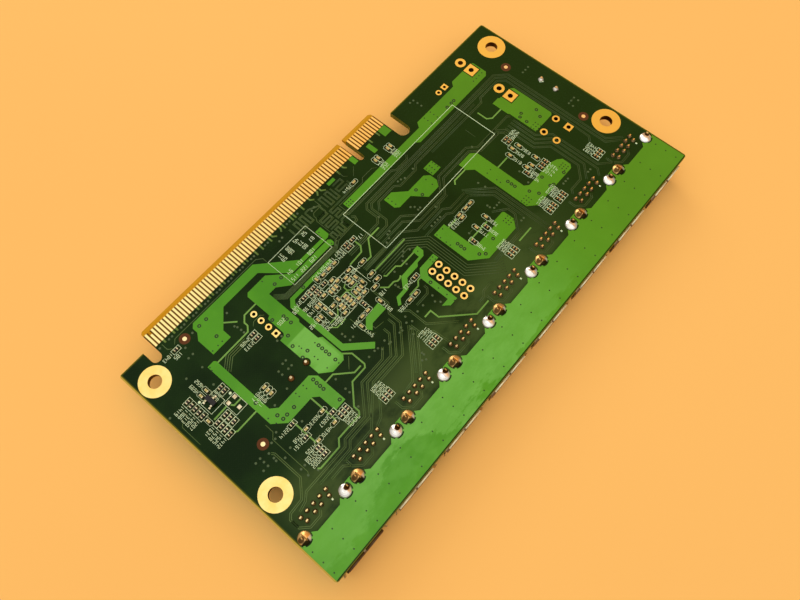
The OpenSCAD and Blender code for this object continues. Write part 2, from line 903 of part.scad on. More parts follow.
right_resistor_blocks = [
    [85.2, 18, 3, 1, 1.1, 0, 90], [101.9, 17.9, 3, 1, 1.1, 0, 90], [106.2, 17.9, 3, 1, 1.1, 0, 90],
    [123.4, 17.9, 3, 1, 1.1, 0, 90], [82.3, 27.4, 1, 1, 0, 0, 90], [87.6, 27.4, 1, 1, 0, 0, 90],
    [112.2, 38.5, 1, 2, 0, 1.2, 0], [107.3, 28.9, 1, 1, 0, 0, 90], [111, 27.2, 3, 1, 1.2, 0, 90]
];
capacitor_blocks = [
    [9.4, 51, 2, 1, 1.7, 0, 90], [6.4, 45.4, 1, 1, 0, 0, 90], [20.5, 38.95, 1, 3, 0, 1.13, 0],
    [19.7, 27, 1, 1, 0, 0, 0], [25.2, 27, 1, 1, 0, 0, 0], [19.7, 23.05, 2, 1, 5.4, 0, 0],
    [50.6, 50.2, 3, 1, 2.05, 0, 0], [48.5, 50.6, 1, 1, 0, 0, 90], [50.8, 47.5, 1, 1, 0, 0, 0],
    [46.6, 46.3, 1, 1, 0, 0, 0], [51.6, 46.4, 1, 1, 0, 0, 0], [55.6, 46.2, 1, 1, 0, 0, 0],
    [43.1, 45.4, 2, 1, 1.1, 0, 90], [48.3, 45.6, 3, 1, 1, 0, 90], [53.6, 43.2, 1, 3, 0, 1.05, 0],
    [55.3, 43.6, 1, 1, 0, 0, 90], [40.9, 43, 2, 1, 1.1, 0, 90], [44.2, 41.7, 1, 2, 0, 2, 90],
    [46, 42.7, 1, 1, 0, 0, 0], [48.1, 42.9, 1, 1, 0, 0, 90], [49.8, 40.3, 1, 3, 0, 0.95, 0],
    [47.4, 40.3, 1, 2, 0, 0.95, 0], [52.2, 40.8, 3, 1, 1.05, 0, 90], [55.5, 41.5, 1, 1, 0, 0, 90],
    [46.6, 39.2, 1, 1, 0, 0, 0], [49.6, 39.2, 3, 1, 2.05, 0, 0], [59.6, 45.1, 1, 1, 0, 0, 0],
    [58.6, 41.2, 1, 1, 0, 0, 0], [58.5, 39.2, 1, 1, 0, 0, 0], [56.5, 38.2, 1, 1, 0, 0, 0],
    [48.6, 35.4, 2, 1, 2.05, 0, 0], [46.6, 33.9, 1, 1, 0, 0, 90], [54.5, 34.8, 1, 1, 0, 0, 90],
    [59.5, 29.3, 2, 1, 2.2, 0, 0]
];
right_capacitor_blocks = [
    [85.7, 33.7, 1, 2, 0, 1.1, 0], [88.4, 34.8, 2, 1, 1.9, 0, 0], [85.8, 29.2, 2, 1, 4, 0, 90],
    [84.1, 62.2, 2, 1, 1.1, 0, 90], [89.1, 62.2, 2, 1, 1.1, 0, 90], [75.4, 62.2, 1, 1, 0, 0, 0],
    [108.7, 35.7, 2, 1, 4, 0, 90], [110.8, 36.5, 1, 1, 0, 0, 90], [108.6, 30, 2, 1, 4.1, 0, 90],
    [110, 29.3, 1, 1, 0, 0, 90]
];
part_l = 1.05;
part_w = 0.55;
part_h = 0.45;
end_l = 0.25;

module at_blocks(blocks) {
    for (b = blocks, i = [0 : b[2] - 1], j = [0 : b[3] - 1])
        translate([b[0] + i * b[4], b[1] + j * b[5]])
            rotate(b[6])
                children();
}

module at_resistors() {
    at_blocks(resistor_blocks)
        children();
    middle_group()
        at_blocks(right_resistor_blocks)
            children();
}

module at_capacitors() {
    at_blocks(capacitor_blocks)
        children();
    middle_group()
        at_blocks(right_capacitor_blocks)
            children();
}

module chip_marks() {
    at_resistors()
        square([part_l + 0.3, part_w + 0.1], center = true);
    at_capacitors()
        square([part_l + 0.3, part_w + 0.1], center = true);
}

module chip_body() {
    translate([-part_l / 2 + end_l, -part_w / 2, z_top])
        cube([part_l - 2 * end_l, part_w, part_h - 0.04]);
}

module chip_resistors() {
    color([0.1, 0.1, 0.1])
        layout()
            at_resistors()
                chip_body();
}

module chip_capacitors() {
    color([0.42, 0.3, 0.2])
        layout()
            at_capacitors()
                chip_body();
}

module chip_end_pair() {
    for (s = [-1, 1])
        translate([s * (part_l - end_l) / 2, 0, z_top + part_h / 2])
            cube([end_l, part_w + 0.06, part_h], center = true);
}

module chip_ends() {
    color([0.82, 0.76, 0.62])
        layout() {
            at_resistors()
                chip_end_pair();
            at_capacitors()
                chip_end_pair();
        }
}

transistor_at = [10.1, 48.4];

module transistor_body() {
    color([0.09, 0.09, 0.09])
        layout()
            translate([transistor_at[0], transistor_at[1], z_top + 0.1])
                rotate([90, 0, 0])
                    translate([0, 0, -1.45])
                        linear_extrude(2.9)
                            polygon([
                                [-0.65, 0.45], [-0.55, 0], [0.55, 0], [0.65, 0.45], [0.55, 0.95],
                                [-0.55, 0.95]
                            ]);
}

module gull_lead(w) {
    rotate([90, 0, 0])
        translate([0, 0, -w / 2])
            linear_extrude(w)
                polygon([
                    [0, 0.4], [0, 0.55], [0.4, 0.55], [0.62, 0.15], [1, 0.15], [1, 0], [0.5, 0],
                    [0.3, 0.4]
                ]);
}

module transistor_leads() {
    color([0.8, 0.78, 0.72])
        layout()
            translate([transistor_at[0], transistor_at[1], z_top]) {
                translate([0.65, 0, 0])
                    gull_lead(0.45);
                for (y = [-0.95, 0.95])
                    translate([-0.65, y, 0])
                        mirror([1, 0, 0])
                            gull_lead(0.45);
            }
}

// part side: everything hangs below the board, so z counts down from its lower face
module under(p) {
    layout()
        translate([p[0], p[1], stand_h])
            mirror([0, 0, 1])
                children();
}

module switch_balls() {
    n = 14;
    pitch = 1.27;
    color([0.75, 0.75, 0.75])
        under(chip_at)
            for (i = [0 : n - 1], j = [0 : n - 1])
                if (min(i, j, n - 1 - i, n - 1 - j) < 2)
                    translate([(i - (n - 1) / 2) * pitch, (j - (n - 1) / 2) * pitch, 0])
                        cylinder(r = 0.3, h = 0.4, $fn = 16);
}

module switch_substrate() {
    color([0.1, 0.25, 0.14])
        under(chip_at)
            translate([-chip_w / 2, -chip_w / 2, 0.4])
                cube([chip_w, chip_w, 0.6]);
}

module switch_cap() {
    w = chip_w - 2;
    color([0.07, 0.07, 0.07])
        under(chip_at)
            translate([0, 0, 1])
                linear_extrude(0.9)
                    difference() {
                        square(w, center = true);
                        for (a = [0 : 90 : 270])
                            rotate(a)
                                translate([w / 2, w / 2])
                                    rotate(45)
                                        square(1.4, center = true);
                    }
}

inductor_at = [[21.5, 27.2], [86.5, 30.5], [107, 31]];
core_w = 7;
core_h = 4;

module inductor_cores() {
    color([0.18, 0.18, 0.19])
        for (p = inductor_at)
            under(p)
                translate([0, 0, 0.15])
                    linear_extrude(core_h)
                        polygon([
                            [-core_w / 2, -core_w / 2 + 0.9], [-core_w / 2 + 0.9, -core_w / 2],
                            [core_w / 2 - 0.9, -core_w / 2], [core_w / 2, -core_w / 2 + 0.9],
                            [core_w / 2, core_w / 2 - 0.9], [core_w / 2 - 0.9, core_w / 2],
                            [-core_w / 2 + 0.9, core_w / 2], [-core_w / 2, core_w / 2 - 0.9]
                        ]);
}

module inductor_terminals() {
    color([0.8, 0.78, 0.72])
        for (p = inductor_at)
            under(p)
                for (s = [0, 180])
                    rotate(s)
                        translate([0, 1.4, 0])
                            rotate([90, 0, 0])
                                linear_extrude(2.8)
                                    polygon([
                                        [2, 0], [core_w / 2 + 0.15, 0], [core_w / 2 + 0.15, 1.6],
                                        [core_w / 2, 1.6], [core_w / 2, 0.15], [2, 0.15]
                                    ]);
}

regulator_at = [[13.2, 27.2], [95.5, 30.5], [115.4, 31]];

module regulator_bodies() {
    color([0.08, 0.08, 0.08])
        for (p = regulator_at)
            under(p)
                translate([0, 2.45, 0.1])
                    rotate([90, 0, 0])
                        linear_extrude(4.9)
                            polygon([
                                [-1.95, 0.6], [-1.8, 0], [1.8, 0], [1.95, 0.6], [1.8, 1.4], [-1.8, 1.4]
                            ]);
}

module regulator_leads() {
    color([0.8, 0.78, 0.72])
        for (p = regulator_at)
            under(p)
                for (s = [0, 180])
                    rotate(s)
                        for (i = [-1.5 : 1 : 1.5])
                            translate([1.96, i * 1.27, 0])
                                gull_lead(0.42);
}

filter_at = [
    [15, 33.4], [20.5, 33.4], [81, 36], [86.5, 36], [92, 36], [101.5, 36.6], [107, 36.6],
    [112.5, 36.6], [36.6, 52], [36.6, 48.4], [64.5, 52], [64.5, 48.4]
];

module filter_capacitors() {
    color([0.5, 0.38, 0.26])
        for (p = filter_at)
            under(p)
                translate([-1.1, -1.25, 0])
                    cube([2.2, 2.5, 1.7]);
}

module filter_ends() {
    color([0.82, 0.8, 0.76])
        for (p = filter_at)
            under(p)
                for (s = [-1, 1])
                    translate([s * 1.35, 0, 0.9])
                        cube([0.5, 2.6, 1.8], center = true);
}

module capacitor_can(p) {
    base = 0.8;
    r = can_d / 2;
    color([0.72, 0.73, 0.75])
        under(p)
            rotate_extrude()
                polygon([
                    [0, base], [r - 0.15, base], [r, base + 0.15], [r, base + 0.7],
                    [r - 0.35, base + 1], [r - 0.35, base + 1.2], [r, base + 1.5], [r, can_h - 0.5],
                    [r - 0.15, can_h - 0.15], [r - 0.5, can_h], [0, can_h]
                ]);
}

module capacitor_can_1() {
    capacitor_can(can_1);
}

module capacitor_can_2() {
    capacitor_can([can_2[0] + grow_l, can_2[1]]);
}

module capacitor_seals() {
    color([0.1, 0.1, 0.1])
        difference() {
            union() {
                under(can_1)
                    cylinder(d = can_d - 1, h = 0.8);
                under([can_2[0] + grow_l, can_2[1]])
                    cylinder(d = can_d - 1, h = 0.8);
            }
            layout()
                at_can_leads()
                    cylinder(d = lead_d, h = 30, $fn = 20);
        }
}

module capacitor_leads() {
    color([0.82, 0.8, 0.76])
        layout()
            at_can_leads()
                translate([0, 0, stand_h - 0.8])
                    cylinder(d = lead_d, h = board_t + 1.7, $fn = 20);
}

module crystal_can() {
    color([0.78, 0.77, 0.74])
        under([66.5, 43])
            linear_extrude(1.1)
                square([5, 3.2], center = true);
}

board();
contacts_solder_side();
contacts_part_side();
mounting_rings();
header_two_row();
header_four_way();
jumper_pads();
power_pads();
supply_pads();
ground_pour();
power_pours();
power_traces();
fiducials();
bare_pads();
socket_shell(1);  // socket_1_shell
socket_insulator(1);  // socket_1_insulator
socket_contacts(1);  // socket_1_contacts
socket_shell(2);  // socket_2_shell
socket_insulator(2);  // socket_2_insulator
socket_contacts(2);  // socket_2_contacts
socket_shell(3);  // socket_3_shell
socket_insulator(3);  // socket_3_insulator
socket_contacts(3);  // socket_3_contacts
socket_shell(4);  // socket_4_shell
socket_insulator(4);  // socket_4_insulator
socket_contacts(4);  // socket_4_contacts
socket_shell(5);  // socket_5_shell
socket_insulator(5);  // socket_5_insulator
socket_contacts(5);  // socket_5_contacts
socket_shell(6);  // socket_6_shell
socket_insulator(6);  // socket_6_insulator
socket_contacts(6);  // socket_6_contacts
socket_shell(7);  // socket_7_shell
socket_insulator(7);  // socket_7_insulator
socket_contacts(7);  // socket_7_contacts
socket_shell(8);  // socket_8_shell
socket_insulator(8);  // socket_8_insulator
socket_contacts(8);  // socket_8_contacts
shield_solder();
pin_solder();
lead_solder();
chip_resistors();
chip_capacitors();
chip_ends();
transistor_body();
transistor_leads();
switch_substrate();
switch_cap();
switch_balls();
inductor_cores();
inductor_terminals();
regulator_bodies();
regulator_leads();
filter_capacitors();
filter_ends();
capacitor_can_1();
capacitor_can_2();
capacitor_seals();
capacitor_leads();
crystal_can();
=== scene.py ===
# %% [markdown]
# # A riser card with an edge connector and eight sockets
# The card lies with its solder side up. The solids of the board, sockets, joints and chips come
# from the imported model. This file lays on them what a solid model leaves out: fine tracks and
# vias under the green mask, white print, solder fillets, and a worked finish for every surface.

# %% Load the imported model
import bpy
import numpy as np
from mathutils import Matrix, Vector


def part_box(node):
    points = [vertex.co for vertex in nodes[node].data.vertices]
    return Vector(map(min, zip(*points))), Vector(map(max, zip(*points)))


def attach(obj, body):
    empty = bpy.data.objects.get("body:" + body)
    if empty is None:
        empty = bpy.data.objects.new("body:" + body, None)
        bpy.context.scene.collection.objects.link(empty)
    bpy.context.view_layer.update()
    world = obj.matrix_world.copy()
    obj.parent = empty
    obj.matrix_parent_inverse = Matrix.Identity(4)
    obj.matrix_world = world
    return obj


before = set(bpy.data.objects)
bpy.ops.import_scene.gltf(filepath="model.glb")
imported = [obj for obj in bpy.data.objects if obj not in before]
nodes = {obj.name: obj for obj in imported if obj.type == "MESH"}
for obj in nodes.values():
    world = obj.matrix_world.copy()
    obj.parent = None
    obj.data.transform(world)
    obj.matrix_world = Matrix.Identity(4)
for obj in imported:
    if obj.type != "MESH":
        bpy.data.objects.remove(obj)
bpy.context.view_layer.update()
MM = 0.001
board_low, board_high = (np.array(c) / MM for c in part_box("board"))
LEFT, EDGE = board_low[0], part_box("ground_pour")[0][1] / MM
TOP, UNDER = board_high[2], board_low[2]
print(len(nodes), "solids, board top at", round(TOP, 3), "mm")

# %% [markdown]
# ## Camera
# The photograph was taken by hand from above the sockets' left corner. A camera is fixed by its
# place, its three axes and its focal length. All of them were fitted to the contacts, the ground
# vias, the mounting holes and the board's edges, so these numbers stand here instead of an aim by
# eye.

# %% Set the camera up
camera = bpy.data.objects.new("camera", bpy.data.cameras.new("camera"))
bpy.context.scene.collection.objects.link(camera)
right = np.array([0.64826, -0.76140, -0.00478])
up = np.array([0.71058, 0.60271, 0.36307])
back = -np.array([0.27356, 0.23876, -0.93175])
spot = np.array([-57.17, -44.95, 163.09]) * MM
axes = np.c_[right, up, back]
camera.matrix_world = Matrix([[*row, s] for row, s in zip(axes, spot)] + [[0, 0, 0, 1]])
SENSOR, FOCAL_PIXELS, PICTURE_PIXELS = 36, 671.82, 800
camera.data.sensor_width = SENSOR
camera.data.lens = SENSOR * FOCAL_PIXELS / PICTURE_PIXELS
camera.data.clip_start = 0.005
bpy.context.scene.camera = camera
print("lens", round(camera.data.lens, 2), "mm, at", spot)

# %% [markdown]
# ## Shader sums as Python
# A procedural finish is mostly arithmetic on coordinates and noise. Wiring that by hand hides the
# formula. Here a small class holds one socket and turns + - * and < > into Math nodes, so a mask
# reads as the sum it is. Every other node is added by one method that takes its type, settings
# and inputs.

# %% Sockets with operators
class Value:
    """One output socket. Arithmetic on it adds a Math node to the same tree."""

    def __init__(self, paint, socket):
        self.paint, self.socket = paint, socket

    def math(self, operation, *inputs):
        return self.paint.add("ShaderNodeMath", {"operation": operation}, dict(enumerate(inputs)))

    def __add__(self, other): return self.math("ADD", self, other)
    def __radd__(self, other): return self.math("ADD", other, self)
    def __sub__(self, other): return self.math("SUBTRACT", self, other)
    def __rsub__(self, other): return self.math("SUBTRACT", other, self)
    def __mul__(self, other): return self.math("MULTIPLY", self, other)
    def __gt__(self, other): return self.math("GREATER_THAN", self, other)
    def __lt__(self, other): return self.math("LESS_THAN", self, other)
    def __abs__(self): return self.math("ABSOLUTE", self)
    def sin(self): return self.math("SINE", self)
    def clip(self): return self.math("MINIMUM", self.math("MAXIMUM", self, 0), 1)
    def wrap(self, step): return self.math("WRAP", self, step / 2, -step / 2)

    def ramp(self, low, high):
        """0 at low, 1 at high, smooth between and level beyond. Low may be the larger."""
        return self.paint.add("ShaderNodeMapRange", {"interpolation_type": "SMOOTHSTEP"},
                              {0: self, 1: low, 2: high, 3: 0, 4: 1})


class Paint:
    """A material, or the sky: its node tree, its shader and a method that adds any node."""

    made = {}  # every finish by its name

    def __init__(self, name, sky=False, **constants):
        self.material = (bpy.data.worlds if sky else bpy.data.materials).new(name)
        Paint.made[name] = self.material
        self.material.use_nodes = True
        self.tree = self.material.node_tree
        self.shader = self.tree.nodes["Background" if sky else "Principled BSDF"]
        for key, value in constants.items():
            self.named(key).default_value = value

    def named(self, key):
        """The shader's own socket of a name written with underscores."""
        return self.shader.inputs[key.replace("_", " ").title().replace("Ior", "IOR")]

    def add(self, kind, settings=None, inputs=None, out=0):
        """Adds a node of that kind, sets its settings, then its inputs by value or by link."""
        node = self.tree.nodes.new(kind)
        for key, value in (settings or {}).items():
            setattr(node, key, value)
        for key, value in (inputs or {}).items():
            self.feed(node.inputs[key], value)
        return Value(self, node.outputs[out])

    def feed(self, socket, value):
        """Links a Value to an input, or sets it to a constant."""
        if isinstance(value, Value):
            self.tree.links.new(value.socket, socket)
        else:
            socket.default_value = value

    def place(self):
        """Object coordinates in mm from the left edge, the copper's front and the table."""
        point = self.add("ShaderNodeTexCoord", out="Object")
        split = [self.add("ShaderNodeSeparateXYZ", inputs={0: point}, out=k) for k in range(3)]
        return split[0] * 1000 - LEFT, split[1] * 1000 - EDGE, split[2] * 1000

    def noise(self, scale, detail=3.0, stretch=(1, 1, 1), roughness=0.55):
        """Noise on Object coordinates, scale in features per millimetre, stretched by axis."""
        point = self.add("ShaderNodeTexCoord", out="Object")
        size = self.add("ShaderNodeVectorMath", {"operation": "MULTIPLY"},
                        {0: point, 1: tuple(1000 * scale * s for s in stretch)})
        return self.add("ShaderNodeTexNoise", None,
                        {"Vector": size, "Scale": 1.0, "Detail": detail, "Roughness": roughness})

    def mix(self, factor, first, second):
        """The first colour at factor 0, the second at 1."""
        return self.add("ShaderNodeMix", {"data_type": "RGBA"},
                        {0: factor, 6: first, 7: second}, out=2)

    def bump(self, height, distance):
        """Height in 0..1 becomes a bump of that distance in millimetres."""
        return self.add("ShaderNodeBump", None,
                        {"Strength": 1.0, "Distance": distance * MM, "Height": height})

    def wear(self, **inputs):
        """Feeds the shader's own sockets, by name."""
        for key, value in inputs.items():
            self.feed(self.named(key), value)


def ink(r, g, b):
    """A colour as a photograph gives it, 0 to 255, as the linear values that a shader takes."""
    c = np.array([r, g, b]) / 255
    linear = np.where(c <= 0.04045, c / 12.92, ((c + 0.055) / 1.055) ** 2.4)
    return (*linear.tolist(), 1.0)


print("shader helpers ready")

# %% [markdown]
# ## The board: mask, laminate and bevel
# A bare board is glass cloth in resin, sprayed with a green mask that stops short of the
# contacts. Four skins meet on one solid, so the finish asks where it is: the normal tells edge
# from face, and the distance along the board tells mask from bare tab and bevel. The mask thins
# to olive at the rim, and a haze of flux lies on it round the soldered pins. A painted sheen
# lightens the mask towards the right, and painted shade darkens the bare laminate between the
# contacts.

# %% Board finish
def mask_dirt(paint):
    """Slow stains and fine dust on any mask."""
    return paint.noise(0.07, 4), paint.noise(1.6, 4)


TAB, BARE, BEVEL = (10.3, 94.7), 68.2, 72.4  # the tab's ends, the mask's edge and the bevel's
CONTACT_PITCH = 1
board = Paint("solder_mask_board", specular_ior_level=0.06, coat_roughness=0.12)
x, y, z = board.place()
normal = board.add("ShaderNodeNewGeometry", out="Normal")
nz = abs(board.add("ShaderNodeSeparateXYZ", inputs={0: normal}, out=2))
face = nz.ramp(0.45, 0.7)
on_tab = (x > TAB[0]) * (x < TAB[1])
stain, dust = mask_dirt(board)
weave = (x * 9.0).sin() * (y * 9.0).sin() * 0.5 + 0.5
green = board.mix(stain.ramp(0.35, 0.7), ink(11, 34, 3), ink(22, 48, 9))
# painted sheen: the mask is made lighter towards the right of the board
green = board.mix(x.ramp(55, 125) * 0.55, green, ink(32, 60, 20))
green = board.mix(dust.ramp(0.62, 0.8) * 0.3, green, ink(44, 66, 30))
green = board.mix(weave.ramp(0.6, 1.0) * 0.12, green, ink(44, 64, 26))
soldered = y.ramp(9, 11) * (1 - y.ramp(17, 26)) * x.ramp(-2, 10) * (1 - x.ramp(80, 116))
haze = board.noise(0.09, 5, (0.7, 1, 1), 0.6).ramp(0.31, 0.52) * soldered
green = board.mix(haze * 0.52, green, ink(80, 103, 52))
rim = (x - 138.9).ramp(0, 0.4) + (0.75 - x).ramp(0, 0.3) + (y - 68.85).ramp(0, 0.35) * (1 - on_tab)
rim = (rim + (-0.15 - y).ramp(0, 0.2)).clip() * 0.85
thin = board.mix((0.42 - x).ramp(0, 0.12), ink(100, 104, 14), ink(204, 176, 72))
green = board.mix(rim, green, thin)
resin = board.mix(weave, ink(168, 120, 14), ink(196, 146, 26))
# painted shade: the bare laminate is darker in the narrow gaps between the contacts
between = abs(x.wrap(CONTACT_PITCH)).ramp(0.28, 0.36)
resin = board.mix(between, resin, ink(96, 62, 0))
bare = (y > BARE) * on_tab * face
skin = board.mix(bare, green, resin)
layers = ((z * 21.0).sin() * 0.5 + 0.5) * board.noise(1.2, 3, (1, 1, 0.3)).ramp(0.3, 0.8)
skin = board.mix(face, board.mix(layers, ink(112, 112, 34), ink(176, 156, 66)), skin)
bevel = (y > BEVEL) * (nz < 0.995)
grain = board.noise(0.8, 3, (0.2, 3, 3))
skin = board.mix(bevel, skin, board.mix(grain, ink(176, 122, 14), ink(218, 164, 30)))
masked = face * (1 - bare) * (1 - bevel)
board.wear(base_color=skin,
           roughness=0.62 - masked * (0.36 - dust.ramp(0.5, 0.8) * 0.16 - haze * 0.1),
           coat_weight=masked * 0.03,
           normal=board.bump(weave * 0.4 + dust * 0.6, 0.012))
print("board finish:", len(board.tree.nodes), "nodes")

# %% [markdown]
# ## Mask over copper
# Where copper lies under the mask the green turns bright, because the metal sends light back
# through it. The wide field by the sockets also carries pale smears of dried flux from the
# soldering. Two wipes of a cloth have left a slanting edge each, so a smear is the side of a
# line, frayed by stretched noise. A broad pale veil over the left of the fields is painted
# reflection.

# %% Copper fields and tracks under the mask
def copper_under_mask(name, dark, light, smear=0.0, fade=0.0):
    """Bright green with slow changes of tone.

    Smear adds dried flux and a painted reflection over it. Fade dulls the green from the middle of
    the board to its right."""
    paint = Paint(name, specular_ior_level=0.2, coat_roughness=0.1)
    x, y, _ = paint.place()
    stain, dust = mask_dirt(paint)
    tone = paint.mix(stain.ramp(0.3, 0.72), dark, light)
    tone = paint.mix(dust.ramp(0.6, 0.85) * 0.25, tone, ink(108, 158, 58))
    tone = paint.mix(x.ramp(40, 90) * fade, tone, ink(48, 66, 27))
    tone = paint.mix(x.ramp(50, 130) * 0.6 * smear, tone, ink(88, 138, 30))
    streak = paint.noise(0.13, 6, (0.5, 1.5, 1), 0.66) - 0.5
    fray = paint.noise(0.45, 5, (0.6, 1.3, 1), 0.7) - 0.5
    wipe = y + streak * 9 + fray * 7
    first = (wipe - 2.4 - x.ramp(8, 34) * 6.4).ramp(-0.9, 0.7) * (1 - x.ramp(31, 37))
    second = (wipe - 9.5 + x.ramp(32, 42) * 8.5 + streak * 7).ramp(-0.9, 0.7)
    second = second * x.ramp(30, 35) * (1 - x.ramp(68, 104))
    inner = (x + streak * 9 + fray * 3 - 31).ramp(-2.2, 2.6) * (1 - x.ramp(37.5, 38.5))
    inner = inner * y.ramp(31, 34) * (1 - y.ramp(44.1, 44.5))
    mottle = paint.noise(0.22, 5, (0.7, 1.2, 1), 0.62).ramp(0.4, 0.62) * (1 - x.ramp(62, 96))
    flux_and_reflection = ((first + second).clip() * 0.7 + mottle * 0.34) * (1 - y.ramp(9.6, 14))
    # painted reflection: a broad pale veil over the lower left of the fields
    painted_reflection_veil = y.ramp(14, 20) * (1 - y.ramp(36, 54)) * (1 - x.ramp(60, 90)) * 0.35
    flux_and_reflection = (flux_and_reflection + inner + painted_reflection_veil) * (0.9 + fray * 0.7) * (0.55 + x.ramp(4, 34) * 0.45) * smear
    # the pale film is dried flux and the painted reflection veil together
    tone = paint.mix(flux_and_reflection * 0.85, tone, ink(110, 186, 72))
    rough = 0.3 + dust * 0.12 + flux_and_reflection * 0.14
    paint.wear(base_color=tone, roughness=rough, coat_weight=0.05 + flux_and_reflection * 0.15,
               normal=paint.bump(stain * 0.7 + dust * 0.3, 0.02))


copper_under_mask("mask_over_field", ink(72, 150, 18), ink(86, 164, 28), smear=1.0)
copper_under_mask("mask_over_power", ink(64, 140, 10), ink(78, 156, 18), smear=1.0)
copper_under_mask("mask_over_track", ink(96, 146, 60), ink(116, 166, 76))
copper_under_mask("mask_over_fine_track", ink(66, 92, 44), ink(88, 114, 60), fade=0.7)
copper_under_mask("mask_over_stub", ink(88, 118, 48), ink(108, 138, 60))
print("five finishes of mask over copper")

# %% [markdown]
# ## Metals
# The contacts are hard gold, wiped lengthwise by a slot, with painted shade on their long edges;
# the rings and pads are thin gold over nickel, with painted shade down in the holes; joints are
# poured solder that froze with a skin; cans are drawn sheet. One function gives them a base tone,
# a second tone in blotches, and scratches in a chosen direction. The gold mirrors a pale sky on
# the left and a warm one on the right, and a painted reflection of that changes its tone along
# the board. The dark tone of the chips' fillets is painted shade and dark reflection. Only the
# joints of the two-lead parts are written out, because the left ones are brown and the right
# ones bright.

# %% Metal finishes
def metal(name, tone, tarnish, rough, scratch=(1, 1, 1), blotch=0.25, depth=0.004, fine=3.0,
          hole_shade=0.0, shift=None, rim=0.0):
    """Metal: two tones mixed by slow noise, with noise stretched as its scratches run.

    Painted shade darkens it inside the holes, by the share given. Shift is two places along the
    board and the tone that it takes on from the first to the second, a painted reflection. Rim
    paints shade on the long edges of the contacts."""
    paint = Paint(name, metallic=1.0)
    slow = paint.noise(blotch, 4)
    lines = paint.noise(fine, 4, scratch)
    x, _, z = paint.place()
    # painted shade inside the plated holes
    inside = (TOP - z).ramp(0.03, 0.12) * (z - UNDER).ramp(0.03, 0.12) * hole_shade
    colour = paint.mix(slow.ramp(0.35, 0.75), tone, tarnish)
    # painted reflection: the gold's tone changes along the board like the sky mirrored in it
    if shift:
        low, high, other = shift
        colour = paint.mix(x.ramp(low, high) * 0.9, colour, other)
    # painted shade on the contacts' long edges, beside the dark gaps
    if rim:
        edge = abs(x.wrap(CONTACT_PITCH)).ramp(0.22, 0.34) * rim
        colour = paint.mix(edge, colour, ink(134, 92, 0))
    paint.wear(base_color=paint.mix(inside, colour, ink(84, 44, 10)),
               roughness=rough + lines * 0.16 + slow * 0.08 - 0.1,
               normal=paint.bump(lines, depth))


metal("contact_gold", ink(242, 212, 130), ink(232, 190, 96), 0.38, (2.5, 0.15, 1),
      shift=(95, 5, ink(244, 236, 166)), rim=0.9)
metal("pad_gold", ink(252, 232, 150), ink(248, 216, 116), 0.45, hole_shade=0.94,
      shift=(60, 125, ink(243, 211, 100)))
metal("bright_dot", ink(255, 240, 186), ink(244, 218, 146), 0.4)
metal("solder_metal", ink(240, 236, 226), ink(204, 192, 164), 0.2,
      blotch=0.5, depth=0.03, fine=1.2)
metal("pin_joint_metal", ink(178, 152, 108), ink(56, 38, 20), 0.3,
      blotch=2.4, depth=0.14, fine=2.2)
metal("shield_leg_metal", ink(232, 190, 116), ink(176, 124, 62), 0.28,
      blotch=0.9, depth=0.02, fine=1.6)
# the fillets' dark tone paints the shade and dark reflection beside the chips' ends
metal("chip_joint_metal", ink(104, 92, 62), ink(46, 36, 20), 0.3,
      blotch=0.9, depth=0.02, fine=2.0)
metal("tinned_end", ink(226, 218, 184), ink(180, 164, 120), 0.36, blotch=1.1, depth=0.01)
metal("chip_end", ink(214, 206, 166), ink(160, 146, 104), 0.32, blotch=1.3, depth=0.01)
metal("spring_metal", ink(232, 208, 140), ink(206, 190, 150), 0.32)
metal("can_metal", ink(214, 216, 218), ink(190, 192, 196), 0.34, (1, 1, 0.1),
      blotch=0.2, depth=0.006, fine=2.0)
metal("crystal_metal", ink(206, 204, 196), ink(176, 172, 160), 0.32, (0.2, 2.5, 1),
      blotch=0.3, depth=0.005, fine=2.0)
lead = Paint("lead_joint_metal", metallic=1.0)
flow = lead.noise(0.9, 3)
lead_tone = lead.mix(lead.place()[0].ramp(60, 90), ink(160, 112, 62), ink(244, 238, 222))
lead.wear(base_color=lead.mix(flow.ramp(0.52, 0.7), lead_tone, ink(70, 44, 20)),
          roughness=0.2 + flow * 0.1, normal=lead.bump(flow, 0.05))
print("thirteen metals")

# %% [markdown]
# ## Sockets: shells and shield joints
# The two legs of a shell come up through their joints off the middle, each tip ringed by a
# painted shadow. One joint of a pair carries a painted reflection of white light, the other one
# of the warm paper, with painted shade and white at its front. The sockets repeat along x, so a
# wrap of x gives each point its own socket. The shells are plated sheet, with painted shade on
# their metal in front of the board and on their first legs above it, and their rolled lips carry
# painted shade at the first socket and a painted highlight at the others.

# %% Shell and joint finishes
SOCKETS, STEP, COUNT = 8.8, 17.4, 8  # the first socket's middle, the pitch and the number
LEG_X, LEG_Y = 6.57, 11.1  # a shield leg from its socket's middle
# where each leg's tip stands, the middle of its painted shadow
SHADED_TIP = np.array([-0.7, 0.8])  # each leg's tip, off the middle of its joint
joint = Paint("shield_joint_metal", metallic=1.0)
x, y, _ = joint.place()
across = (x - SOCKETS).wrap(STEP)
drip = joint.noise(0.9, 3) - 0.5
second_leg = across > 0
local = across + LEG_X - second_leg * (2 * LEG_X) + drip * 0.3
along = y - LEG_Y + drip * 0.3
# painted reflections: white light on the second joint of a pair, warm paper on the first, with
# painted shade and white at the first one's front
bright = joint.mix(drip.ramp(-0.1, 0.2), ink(253, 251, 244), ink(234, 228, 212))
front = joint.mix(local.ramp(0.35, 0.75), ink(46, 40, 18), bright)
warm = joint.mix((-0.35 - along).ramp(0, 0.3), ink(238, 194, 122), front)
